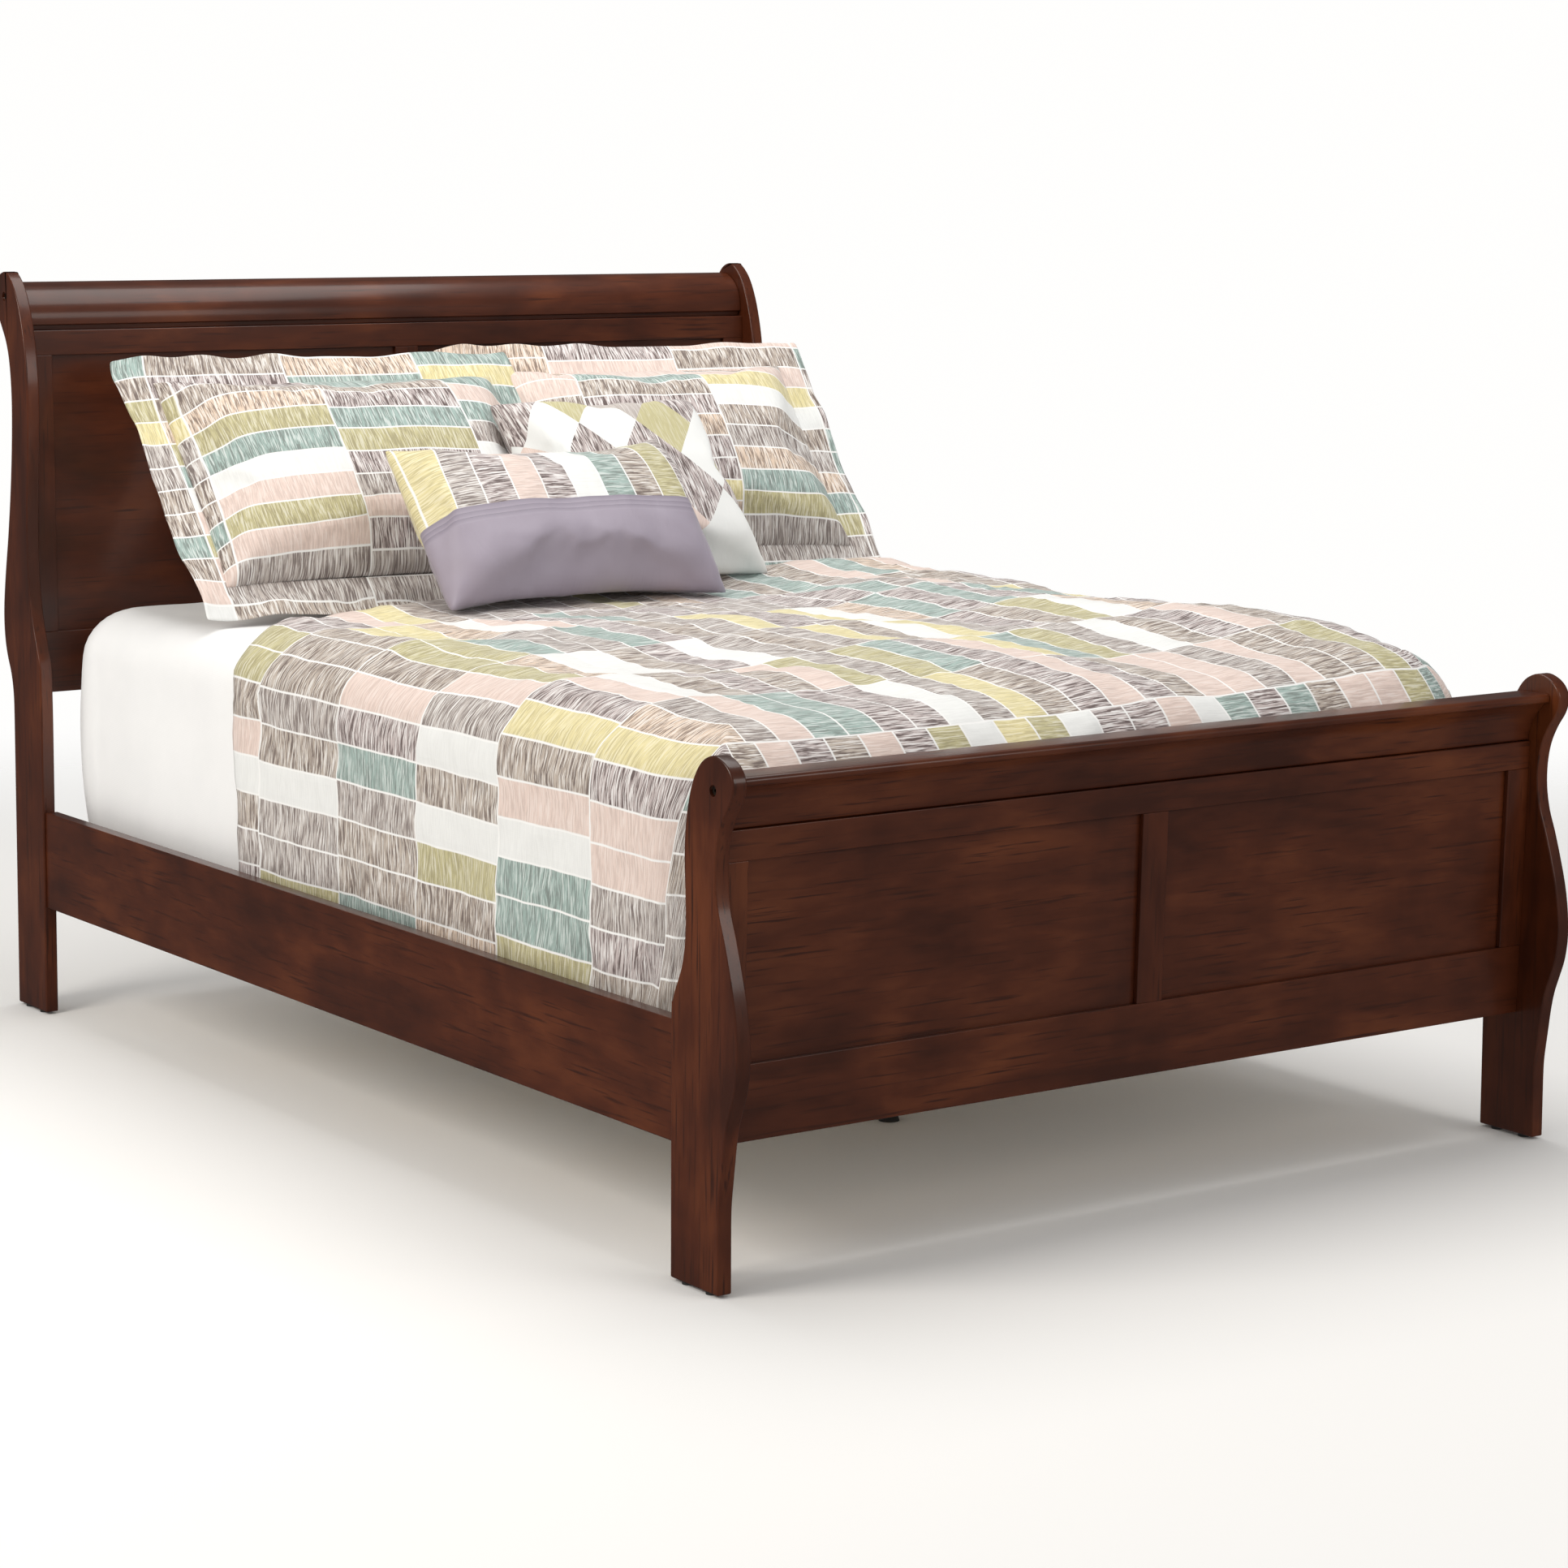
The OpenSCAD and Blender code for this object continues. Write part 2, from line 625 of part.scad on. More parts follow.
// A cushion: thin at its edge and full in the middle. It is built flat, with its lower edge
// on the X axis, its height along +Y and its front up, and then it is leaned back.
module cushion(w, h, t, edge = 8) {
    translate([0, h / 2, 0]) hull() {
        for (x = SIDES, y = SIDES) translate([x * (w / 2 - 14), y * (h / 2 - 14), 0])
            cylinder(r = 14, h = edge, center = true, $fn = 16);
        scale([w * 0.36, h * 0.36, t / 2]) sphere(1, $fn = 28);
    }
}
module leaning(x, y, z, turn, lean) {
    translate([x, head_y - y, z]) rotate([0, 0, turn]) rotate([lean, 0, 0]) children();
}
module sleeping_pillow(side) {
    color("white") leaning(95 + side * 300, 190, sheet_top + 10, 0, 55)
        cushion(pillow_w, pillow_h, pillow_t);
}
module sham_left() {
    color("lightblue") leaning(-262, 440, sheet_top + 8, -4, 45) cushion(sham_w, sham_h, sham_t);
}
module sham_right() {
    color("khaki") leaning(310, 400, sheet_top + 20, -8, 47) cushion(sham_w, sham_h, sham_t);
}
module square_cushion() {
    color("linen") leaning(165, 560, comforter_top + 6, 0, 48)
        cushion(square_w, square_w, square_t);
}
module oblong_cushion() {
    color("mediumpurple") leaning(-75, 668, comforter_top + 6, 0, 48)
        cushion(oblong_w, oblong_h, oblong_t);
}

head_post(-1);  // head_post_left
head_post(1);  // head_post_right
headboard_roll();
color(wood) head_board() board_top_rail(head_frame_h);  // headboard_top_rail
color(wood) head_board() board_bottom_rail(head_frame_h);  // headboard_bottom_rail
color(wood) head_board() board_stile(head_frame_h, -1);  // headboard_stile_left
color(wood) head_board() board_stile(head_frame_h, 1);  // headboard_stile_right
color(wood) head_board() board_centre_stile(head_frame_h);  // headboard_centre_stile
color(wood) head_board() board_panel(head_frame_h, -1);  // headboard_panel_left
color(wood) head_board() board_panel(head_frame_h, 1);  // headboard_panel_right
foot_post(-1);  // foot_post_left
foot_post(1);  // foot_post_right
footboard_cap();
color(wood) foot_board() board_top_rail(foot_frame_h);  // footboard_top_rail
color(wood) foot_board() board_bottom_rail(foot_frame_h);  // footboard_bottom_rail
color(wood) foot_board() board_stile(foot_frame_h, -1);  // footboard_stile_left
color(wood) foot_board() board_stile(foot_frame_h, 1);  // footboard_stile_right
color(wood) foot_board() board_centre_stile(foot_frame_h);  // footboard_centre_stile
color(wood) foot_board() board_panel(foot_frame_h, -1);  // footboard_panel_left
color(wood) foot_board() board_panel(foot_frame_h, 1);  // footboard_panel_right
frame_dowels();
scroll_bolts();
scroll_inserts();
floor_glides();
side_rail(-1);  // side_rail_left
side_rail(1);  // side_rail_right
ledger(-1);  // ledger_left
ledger(1);  // ledger_right
rail_hook_plates();
post_slot_plates();
hook_screws();
slats();
slat_screws();
support_leg(0);  // support_leg_foot
support_leg(1);  // support_leg_middle
support_leg(2);  // support_leg_head
support_inserts();
support_screws();
levelling_foot(0);  // levelling_foot_foot
levelling_foot(1);  // levelling_foot_middle
levelling_foot(2);  // levelling_foot_head
foundation();
mattress();
sheet();
comforter();
sleeping_pillow(-1);  // sleeping_pillow_left
sleeping_pillow(1);  // sleeping_pillow_right
sham_left();
sham_right();
square_cushion();
oblong_cushion();
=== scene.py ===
import math

import bmesh
import bpy
from mathutils import Matrix, Vector, noise


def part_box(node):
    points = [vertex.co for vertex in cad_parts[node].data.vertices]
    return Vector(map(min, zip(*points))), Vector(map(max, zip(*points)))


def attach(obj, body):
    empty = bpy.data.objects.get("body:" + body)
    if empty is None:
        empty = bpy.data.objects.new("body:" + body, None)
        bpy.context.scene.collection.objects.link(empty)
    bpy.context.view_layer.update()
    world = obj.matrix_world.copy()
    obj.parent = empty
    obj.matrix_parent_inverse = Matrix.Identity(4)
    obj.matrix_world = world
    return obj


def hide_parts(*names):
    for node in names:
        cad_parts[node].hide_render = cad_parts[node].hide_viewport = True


# ---------------------------------------------------------------- The room
# The bed stands in a plain studio on a pale floor. The camera stands off the near foot corner, a little
# above the bedding, with a long lens.

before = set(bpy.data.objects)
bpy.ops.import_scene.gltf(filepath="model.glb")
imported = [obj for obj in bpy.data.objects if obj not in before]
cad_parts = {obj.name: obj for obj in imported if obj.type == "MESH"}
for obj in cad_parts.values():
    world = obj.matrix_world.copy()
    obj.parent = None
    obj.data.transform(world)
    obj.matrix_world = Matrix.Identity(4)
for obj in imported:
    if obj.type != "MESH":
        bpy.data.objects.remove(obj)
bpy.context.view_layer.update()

CAMERA_PLACE = Vector((-3.474, -5.154, 1.452))
CAMERA_YAW = 0.6341
CAMERA_DIP = 0.1195
CAMERA_ROLL = 0.0086

view = bpy.data.objects.new("view", bpy.data.cameras.new("view"))
bpy.context.scene.collection.objects.link(view)
view.data.sensor_width = 36
view.data.lens = 91.3
view.data.shift_x = -0.069
view.data.shift_y = -0.1
view.data.clip_end = 60
view.matrix_world = (
    Matrix.Translation(CAMERA_PLACE)
    @ Matrix.Rotation(-CAMERA_YAW, 4, "Z")
    @ Matrix.Rotation(math.radians(90) - CAMERA_DIP, 4, "X")
    @ Matrix.Rotation(CAMERA_ROLL, 4, "Z")
)
bpy.context.scene.camera = view

bpy.context.scene.view_settings.view_transform = "Standard"

# The walls look white and light the cloth evenly. The lacquer mirrors them faintly, and the lamps in full
WALLS_SEEN = 1.0
WALLS_LIGHT = 0.56
WALLS_MIRRORED = 0.1
world = bpy.data.worlds.new("studio")
bpy.context.scene.world = world
world.use_nodes = True
wall_nodes = world.node_tree
walls = wall_nodes.nodes["Background"]
walls.inputs["Color"].default_value = (1.0, 0.995, 0.985, 1)
ray = wall_nodes.nodes.new("ShaderNodeLightPath")
strength = WALLS_LIGHT
for kind, level in (("Is Glossy Ray", WALLS_MIRRORED), ("Is Camera Ray", WALLS_SEEN)):
    change = wall_nodes.nodes.new("ShaderNodeMix")
    if isinstance(strength, float):
        change.inputs["A"].default_value = strength
    else:
        wall_nodes.links.new(strength, change.inputs["A"])
    change.inputs["B"].default_value = level
    wall_nodes.links.new(ray.outputs[kind], change.inputs["Factor"])
    strength = change.outputs["Result"]
wall_nodes.links.new(strength, walls.inputs["Strength"])


def soft_light(name, place, aim, size, power, colour=(1, 1, 1)):
    """A big square lamp at place, turned towards aim."""
    lamp = bpy.data.objects.new(name, bpy.data.lights.new(name, "AREA"))
    bpy.context.scene.collection.objects.link(lamp)
    lamp.data.shape = "RECTANGLE"
    lamp.data.size, lamp.data.size_y = size
    lamp.data.energy = power
    lamp.data.color = colour
    lamp.location = place
    lamp.rotation_mode = "QUATERNION"
    lamp.rotation_quaternion = (Vector(aim) - Vector(place)).to_track_quat("-Z", "Y")


soft_light("key", (-4.2, -0.2, 2.9), (0, 0.1, 0.5), (2.0, 1.8), 92, (1, 0.945, 0.87))
soft_light("foot_fill", (1.4, -4.6, 2.2), (0, -0.6, 0.4), (2.2, 1.4), 30, (1, 0.96, 0.92))
soft_light("top", (0.2, 0.2, 3.4), (0, 0.2, 0.6), (2.6, 2.2), 56, (1, 0.985, 0.96))


# ---------------------------------------------------------------- Floor
# A seamless sheet of pale paper, which isn't part of the bed.

class Link:
    """A shader socket. Arithmetic on it adds Math nodes, and node() adds any other node."""

    def __init__(self, tree, socket=None):
        self.tree = tree
        self.socket = socket

    def node(self, kind, sockets, output=0, **settings):
        made = self.tree.nodes.new(kind)
        stops = settings.pop("stops", None)
        for name, value in settings.items():
            setattr(made, name, value)
        if stops:
            ramp = made.color_ramp.elements
            while len(ramp) < len(stops):
                ramp.new(1)
            for element, (place, colour) in zip(ramp, stops):
                element.position = place
                element.color = (*colour, 1)
        for name, value in sockets.items():
            if isinstance(value, Link):
                self.tree.links.new(value.socket, made.inputs[name])
            else:
                made.inputs[name].default_value = value
        return Link(self.tree, made.outputs[output])

    def maths(self, operation, *values):
        return self.node("ShaderNodeMath", dict(enumerate(values)), operation=operation)

    def __add__(self, other):
        return self.maths("ADD", self, other)

    __radd__ = __add__

    def __sub__(self, other):
        return self.maths("SUBTRACT", self, other)

    def __rsub__(self, other):
        return self.maths("SUBTRACT", other, self)

    def __mul__(self, other):
        return self.maths("MULTIPLY", self, other)

    __rmul__ = __mul__

    def __truediv__(self, other):
        return self.maths("DIVIDE", self, other)

    def mix(self, low, high):
        """Blends two colours by this link, from low at 0 to high at 1."""
        low, high = (c if isinstance(c, Link) else (*c, 1) for c in (low, high))
        return self.node(
            "ShaderNodeMix", {0: self, 6: low, 7: high}, output=2, data_type="RGBA"
        )

    def grain(self, scale, detail=3.0, distortion=0.0, roughness=0.5):
        """Noise, from 0 to 1, read at this place."""
        return self.node(
            "ShaderNodeTexNoise",
            {
                "Vector": self,
                "Scale": scale,
                "Detail": detail,
                "Distortion": distortion,
                "Roughness": roughness,
            },
        )

    def stretched(self, scale, turn=(0, 0, 0), shift=(0, 0, 0)):
        return self.node(
            "ShaderNodeMapping", {"Vector": self, "Scale": scale, "Rotation": turn, "Location": shift}
        )


def start(name, uv=None):
    """A new material, the link to the place that its patterns are read at, and its shader."""
    material = bpy.data.materials.new(name)
    material.use_nodes = True
    tree = material.node_tree
    if uv:
        place = Link(tree).node("ShaderNodeUVMap", {}, uv_map=uv)
    else:
        place = Link(tree).node("ShaderNodeTexCoord", {}, output=3)
    return material, place, tree.nodes["Principled BSDF"]


def dress(shader, **sockets):
    """Sets or links the shader's sockets, named in words joined by _."""
    for name, value in sockets.items():
        socket = shader.inputs[name.replace("_", " ")]
        if isinstance(value, Link):
            value.tree.links.new(value.socket, socket)
        else:
            socket.default_value = (*value, 1) if isinstance(value, tuple) else value


def raised(height, strength, depth):
    """A bumped normal from a height."""
    return height.node("ShaderNodeBump", {"Height": height, "Strength": strength, "Distance": depth})


FLOOR_WHOLE = 2.0
FLOOR_GONE = 4.2
paper, paper_place, paper_shader = start("paper")
away = paper_place.node("ShaderNodeVectorMath", {0: paper_place}, output=1, operation="LENGTH")
dress(
    paper_shader,
    Base_Color=(0.93, 0.925, 0.915),
    Roughness=0.9,
    IOR=1.2,
    Alpha=away.node(
        "ShaderNodeMapRange", {"Value": away, "From Min": FLOOR_GONE, "From Max": FLOOR_WHOLE},
        interpolation_type="SMOOTHSTEP",
    ),
)
bm = bmesh.new()
bmesh.ops.create_grid(bm, x_segments=1, y_segments=1, size=FLOOR_GONE)
floor_mesh = bpy.data.meshes.new("floor")
bm.to_mesh(floor_mesh)
bm.free()
floor = bpy.data.objects.new("floor", floor_mesh)
bpy.context.scene.collection.objects.link(floor)
floor_mesh.materials.append(paper)
floor.visible_glossy = False


# ---------------------------------------------------------------- Posts
# Each of the four posts is one board of hardwood, sawn to the scroll outline, with its edges sanded round.
# It is stained dark cherry and lacquered to a gloss.

STAIN_DARK = (0.044, 0.0088, 0.0024)
STAIN_MID = (0.078, 0.0158, 0.0036)
STAIN_RED = (0.128, 0.03, 0.0065)
STAIN_PORE = (0.044, 0.0095, 0.0028)
EASED_EDGE = 0.0018
SMALLEST_EASED_FACE = 1e-4


def cherry(name, along):
    """Dark cherry lacquer over wood whose grain runs along X, Y or Z."""
    material, place, shader = start(name)
    axis = "XYZ".index(along)
    figure_scale = [9.0, 9.0, 9.0]
    figure_scale[axis] = 2.0
    pore_scale = [230.0, 230.0, 230.0]
    pore_scale[axis] = 9.0
    figure = place.stretched(figure_scale).grain(1.4, 4, 0.9, 0.5)
    streak = place.stretched([s * 6 for s in figure_scale]).grain(1.3, 3, 0.4)
    pores = place.stretched(pore_scale).grain(1.0, 2)
    cloud = place.grain(5.0, 3, 0.6)
    tone = figure * 0.45 + streak * 0.15 + cloud * 0.42
    colour = tone.node(
        "ShaderNodeValToRGB",
        {"Fac": tone},
        stops=[(0.38, STAIN_DARK), (0.52, STAIN_MID), (0.66, STAIN_RED)],
    )
    dark_pores = pores.node("ShaderNodeMapRange", {"Value": pores, "From Min": 0.3, "From Max": 0.42})
    dress(
        shader,
        Base_Color=dark_pores.mix(STAIN_PORE, colour),
        Roughness=0.36 + streak * 0.1,
        IOR=1.36,
        Coat_Weight=0.5,
        Coat_Roughness=0.16,
        Normal=raised(dark_pores * 0.5 + cloud * 0.8, 0.1, 0.0006),
    )
    return material


cherry_up = cherry("cherry_up", "Z")
cherry_long = cherry("cherry_long", "Y")
cherry_wide = cherry("cherry_wide", "X")


def finished(name, bm, material, body, slot, *nodes):
    """Makes a piece of a bmesh, rides it on a body and lets it stand for CAD nodes."""
    mesh = bpy.data.meshes.new(name)
    bm.to_mesh(mesh)
    bm.free()
    piece = bpy.data.objects.new(name, mesh)
    bpy.context.scene.collection.objects.link(piece)
    mesh.materials.append(material)
    mesh.polygons.foreach_set("use_smooth", [True] * len(mesh.polygons))
    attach(piece, body)
    if nodes:
        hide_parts(*nodes)
    return piece


def eased(node, material, ease=EASED_EDGE):
    """A wooden piece as the frame has it, with its long sharp edges sanded round."""
    bm = bmesh.new()
    bm.from_mesh(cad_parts[node].data)
    bmesh.ops.remove_doubles(bm, verts=bm.verts, dist=1e-5)
    bmesh.ops.dissolve_limit(bm, angle_limit=math.radians(0.6), verts=bm.verts, edges=bm.edges)
    sharp = [
        e
        for e in bm.edges
        if e.is_manifold
        and e.calc_face_angle(0) > math.radians(38)
        and min(f.calc_area() for f in e.link_faces) > SMALLEST_EASED_FACE
    ]
    bmesh.ops.bevel(
        bm, geom=sharp, offset=ease, offset_type="OFFSET", segments=3, profile=0.5,
        affect="EDGES", clamp_overlap=False, material=-1,
    )
    piece = finished(node + "_eased", bm, material, "bed_frame", "cherry_wood", node)
    piece.data.set_sharp_from_angle(angle=math.radians(40))
    flat = piece.modifiers.new("flat_faces", "WEIGHTED_NORMAL")
    flat.keep_sharp = True
    return piece


for post in ("head_post_left", "head_post_right", "foot_post_left", "foot_post_right"):
    eased(post, cherry_up, 0.0026)


# ---------------------------------------------------------------- Headboard and footboard
# Both boards are a frame of rails and stiles that holds flat veneered panels in grooves. A rolled moulding
# tops the headboard, and a rounded cap with a hollow under its nose tops the footboard.

for board in ("headboard", "footboard"):
    for rail in ("top_rail", "bottom_rail"):
        eased(f"{board}_{rail}", cherry_wide, 0.0012)
    for stile in ("stile_left", "stile_right", "centre_stile"):
        eased(f"{board}_{stile}", cherry_up, 0.0012)
    for panel in ("panel_left", "panel_right"):
        eased(f"{board}_{panel}", cherry_wide, 0.0006)
eased("headboard_roll", cherry_wide)
eased("footboard_cap", cherry_wide)


# ---------------------------------------------------------------- Side rails
# A plain board on each side hooks into the posts. A pine ledger is screwed along its inner face.

for side in ("left", "right"):
    eased(f"side_rail_{side}", cherry_long)

pine, pine_place, pine_shader = start("pine")
pine_figure = pine_place.stretched((30, 3, 30)).grain(1.2, 4, 1.0)
dress(
    pine_shader,
    Base_Color=pine_figure.mix((0.62, 0.42, 0.23), (0.78, 0.6, 0.38)),
    Roughness=0.55 + pine_figure * 0.15,
    Normal=raised(pine_figure, 0.2, 0.0006),
)


def repaint(material, *nodes):
    """Gives CAD pieces whose shape is right their real finish."""
    for node in nodes:
        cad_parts[node].material_slots[0].material = material


repaint(pine, "ledger_left", "ledger_right", "frame_dowels")


# ---------------------------------------------------------------- Rail hardware
# Hook plates and slot plates of zinc-plated steel are sunk in the rails' ends and in the posts.

zinc, zinc_place, zinc_shader = start("zinc")
zinc_brush = zinc_place.stretched((40, 40, 600)).grain(1.0, 2)
dress(
    zinc_shader,
    Base_Color=zinc_brush.mix((0.52, 0.52, 0.5), (0.66, 0.66, 0.63)),
    Metallic=1.0,
    Roughness=0.3 + zinc_brush * 0.15,
)
repaint(zinc, "rail_hook_plates", "post_slot_plates", "hook_screws")

bronzed, bronzed_place, bronzed_shader = start("bronzed")
bronzed_wear = bronzed_place.grain(300, 2)
dress(
    bronzed_shader,
    Base_Color=bronzed_wear.mix((0.035, 0.027, 0.022), (0.09, 0.07, 0.055)),
    Metallic=0.9,
    Roughness=0.34 + bronzed_wear * 0.2,
)
repaint(bronzed, "scroll_bolts")

brass, brass_place, brass_shader = start("brass")
brass_turning = brass_place.stretched((900, 60, 60)).grain(1.0, 2)
dress(
    brass_shader,
    Base_Color=brass_turning.mix((0.55, 0.38, 0.15), (0.7, 0.5, 0.22)),
    Metallic=1.0,
    Roughness=0.28 + brass_turning * 0.12,
)
repaint(brass, "scroll_inserts", "support_inserts")


# ---------------------------------------------------------------- Slats and centre supports
# Pine slats are screwed down on the ledgers. Three of them stand on a square leg with a levelling foot.

slat_pine, slat_place, slat_shader = start("slat_pine")
slat_figure = slat_place.stretched((3, 34, 34)).grain(1.2, 4, 1.0)
dress(
    slat_shader,
    Base_Color=slat_figure.mix((0.6, 0.41, 0.22), (0.79, 0.61, 0.39)),
    Roughness=0.55 + slat_figure * 0.15,
    Normal=raised(slat_figure, 0.2, 0.0006),
)
leg_pine, leg_place, leg_shader = start("leg_pine")
leg_figure = leg_place.stretched((40, 40, 4)).grain(1.2, 4, 1.0)
dress(
    leg_shader,
    Base_Color=leg_figure.mix((0.6, 0.41, 0.22), (0.77, 0.59, 0.37)),
    Roughness=0.58 + leg_figure * 0.12,
    Normal=raised(leg_figure, 0.2, 0.0006),
)
black_plastic, plastic_place, plastic_shader = start("black_plastic")
plastic_grain = plastic_place.grain(900, 2)
dress(
    plastic_shader,
    Base_Color=plastic_grain.mix((0.02, 0.02, 0.02), (0.035, 0.034, 0.032)),
    Roughness=0.5 + plastic_grain * 0.15,
    Normal=raised(plastic_grain, 0.15, 0.0003),
)
repaint(slat_pine, "slats")
repaint(zinc, "slat_screws", "support_screws")
repaint(black_plastic, "floor_glides")
for place in ("foot", "middle", "head"):
    repaint(leg_pine, f"support_leg_{place}")
    repaint(black_plastic, f"levelling_foot_{place}")


# ---------------------------------------------------------------- Foundation
# A low upholstered box with woven sides. It lies on the slats, inside the rails.

# What a thread count is divided by to give the scale of a wave
THREADS_FOR_SCALE = 6.28


def weave(place, threads):
    """The height of a plain weave: two crossed waves, finer for more threads."""
    wave = {"Vector": place, "Scale": threads / THREADS_FOR_SCALE}
    over = place.node("ShaderNodeTexWave", wave, bands_direction="X", output=1)
    under = place.node("ShaderNodeTexWave", wave, bands_direction="Y", output=1)
    return over * 0.5 + under * 0.5


def ticking(name, low, high):
    material, place, shader = start(name)
    slub = place.stretched((160, 160, 30)).grain(1.0, 2)
    damask = place.grain(24, 1, 2.0)
    dress(
        shader,
        Base_Color=(slub * 0.6 + damask * 0.4).mix(low, high),
        Roughness=0.85,
        Sheen_Weight=0.15,
        Normal=raised(slub * 0.5 + damask, 0.4, 0.001),
    )
    return material


def block(node, edge, corner):
    """An upholstered block as big as a CAD node, with round corners and soft edges."""
    low, high = (Vector(v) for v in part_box(node))
    bm = bmesh.new()
    bmesh.ops.create_cube(bm, size=1)
    bmesh.ops.scale(bm, vec=high - low, verts=bm.verts)
    bmesh.ops.translate(bm, vec=(low + high) / 2, verts=bm.verts)
    uprights = [e for e in bm.edges if abs(e.verts[0].co.z - e.verts[1].co.z) > edge]
    bmesh.ops.bevel(
        bm, geom=uprights, offset=corner, segments=8, profile=0.5, affect="EDGES", material=-1
    )
    rims = [f for f in bm.faces if abs(f.normal.z) > 0.9]
    bmesh.ops.bevel(
        bm, geom=list({e for f in rims for e in f.edges}), offset=edge, segments=4, profile=0.5,
        affect="EDGES", material=-1,
    )
    return bm


def piping(bm, height, depth):
    """Sews a raised tape round a block at a height."""
    half = depth / 2
    tape = (height - depth, 0), (height - half, half), (height + half, half), (height + depth, 0)
    for level, grow in tape:
        cut = bmesh.ops.bisect_plane(
            bm,
            geom=bm.verts[:] + bm.edges[:] + bm.faces[:],
            dist=1e-6,
            plane_co=(0, 0, level),
            plane_no=(0, 0, 1),
        )
        ring = [v for v in cut["geom_cut"] if isinstance(v, bmesh.types.BMVert)]
        for v in ring:
            out = Vector((v.co.x, v.co.y, 0)).normalized()
            v.co += out * grow


TAPE_DEPTH = 0.004
FOUNDATION_TAPE_IN = 0.022
# The box is a little narrower and shorter than its place between the rails
FOUNDATION_SHARE = 0.985, 0.99
foundation_bm = block("foundation", 0.014, 0.07)
foundation_low, foundation_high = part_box("foundation")
piping(foundation_bm, foundation_high[2] - FOUNDATION_TAPE_IN, TAPE_DEPTH)
piping(foundation_bm, foundation_low[2] + FOUNDATION_TAPE_IN, TAPE_DEPTH)
foundation = finished(
    "foundation_box", foundation_bm, ticking("foundation_ticking", (0.62, 0.62, 0.6), (0.78, 0.78, 0.76)),
    "foundation", "foundation_ticking", "foundation",
)
foundation.data.set_sharp_from_angle(angle=math.radians(50))
for v in foundation.data.vertices:
    v.co.x *= FOUNDATION_SHARE[0]
    v.co.y *= FOUNDATION_SHARE[1]


# ---------------------------------------------------------------- Mattress
# A sprung mattress in quilted ticking, with a taped edge at its top and bottom.

MATTRESS_TAPE_IN = 0.078
# The mattress is smaller and lower than its place, which leaves room for the cloths over it
MATTRESS_SHARE = 0.968, 0.975
MATTRESS_DROP = 0.014
mattress_bm = block("mattress", 0.075, 0.1)
mattress_low, mattress_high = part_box("mattress")
piping(mattress_bm, mattress_high[2] - MATTRESS_TAPE_IN, TAPE_DEPTH)
piping(mattress_bm, mattress_low[2] + MATTRESS_TAPE_IN, TAPE_DEPTH)
for v in mattress_bm.verts:
    v.co.x *= MATTRESS_SHARE[0]
    v.co.y *= MATTRESS_SHARE[1]
    v.co.z -= MATTRESS_DROP if v.co.z > (mattress_low[2] + mattress_high[2]) / 2 else 0
mattress = finished(
    "mattress_body", mattress_bm, ticking("mattress_ticking", (0.74, 0.74, 0.73), (0.88, 0.88, 0.87)),
    "mattress", "mattress_ticking", "mattress",
)
mattress.data.set_sharp_from_angle(angle=math.radians(50))


# ---------------------------------------------------------------- Sheet
# A white cotton sheet is pulled over the mattress and tucked down inside the rails on all four sides.

class Drape:
    """How a cloth goes over the mattress: flat over the top, round its edge, and down its sides."""

    def __init__(self, low, high, top, hem, edge, corner):
        self.low, self.high = Vector(low), Vector(high)
        self.top, self.hem, self.edge, self.corner = top, hem, edge, corner
        self.reach = corner - edge + edge * math.pi / 2
        self.drop = top - hem - edge
        self.length = self.reach + self.drop

    def place(self, across, along):
        """Where a point of the flat cloth goes, and the way that it faces.

        across and along are metres on the cloth."""
        inner_low = self.low + Vector((self.corner, self.corner))
        inner_high = self.high - Vector((self.corner, self.corner))
        core = Vector((
            min(max(across, inner_low.x), inner_high.x),
            min(max(along, inner_low.y), inner_high.y),
        ))
        past = Vector((across, along)) - core
        gone = max(abs(past.x), abs(past.y))
        if gone < 1e-9:
            return Vector((across, along, self.top)), Vector((0, 0, 1))
        way = past.normalized()
        flat = self.corner - self.edge
        if gone < flat:
            out, down, turn = gone, 0, 0
        elif gone < self.reach:
            turn = (gone - flat) / self.edge
            out, down = flat + self.edge * math.sin(turn), self.edge * (1 - math.cos(turn))
        else:
            turn = math.pi / 2
            out, down = self.corner, self.edge + gone - self.reach
        point = core + way * out
        facing = Vector((way.x * math.sin(turn), way.y * math.sin(turn), math.cos(turn)))
        return Vector((point.x, point.y, self.top - down)), facing


def laid(drape, step, head_side, relief, head_edge=None):
    """A grid of cloth laid over the mattress by a drape, with its relief added along the way it faces.

    head_side says whether the cloth also goes down at the head. head_edge gives the place of a cloth's head
    hem for each place across it, where it stops on the bed."""
    low = drape.low - Vector((1, 1)) * (drape.length - drape.corner)
    high = drape.high + Vector((1, 1)) * (drape.length - drape.corner)
    if not head_side:
        high.y = 1.0
    columns = round((high.x - low.x) / step)
    rows = round((high.y - low.y) / step)
    bm = bmesh.new()
    bmesh.ops.create_grid(bm, x_segments=columns, y_segments=rows, size=0.5)
    cloth = bm.loops.layers.uv.new("cloth")
    for v in bm.verts:
        across = low.x + (v.co.x + 0.5) * (high.x - low.x)
        end = high.y if head_side else head_edge(across)
        v.co = (across, low.y + (v.co.y + 0.5) * (end - low.y), 0)
    for face in bm.faces:
        for loop in face.loops:
            loop[cloth].uv = loop.vert.co.xy
    for v in bm.verts:
        across, along = v.co.x, v.co.y
        place, facing = drape.place(across, along)
        v.co = place + facing * relief(place, facing, across, along)
    return bm


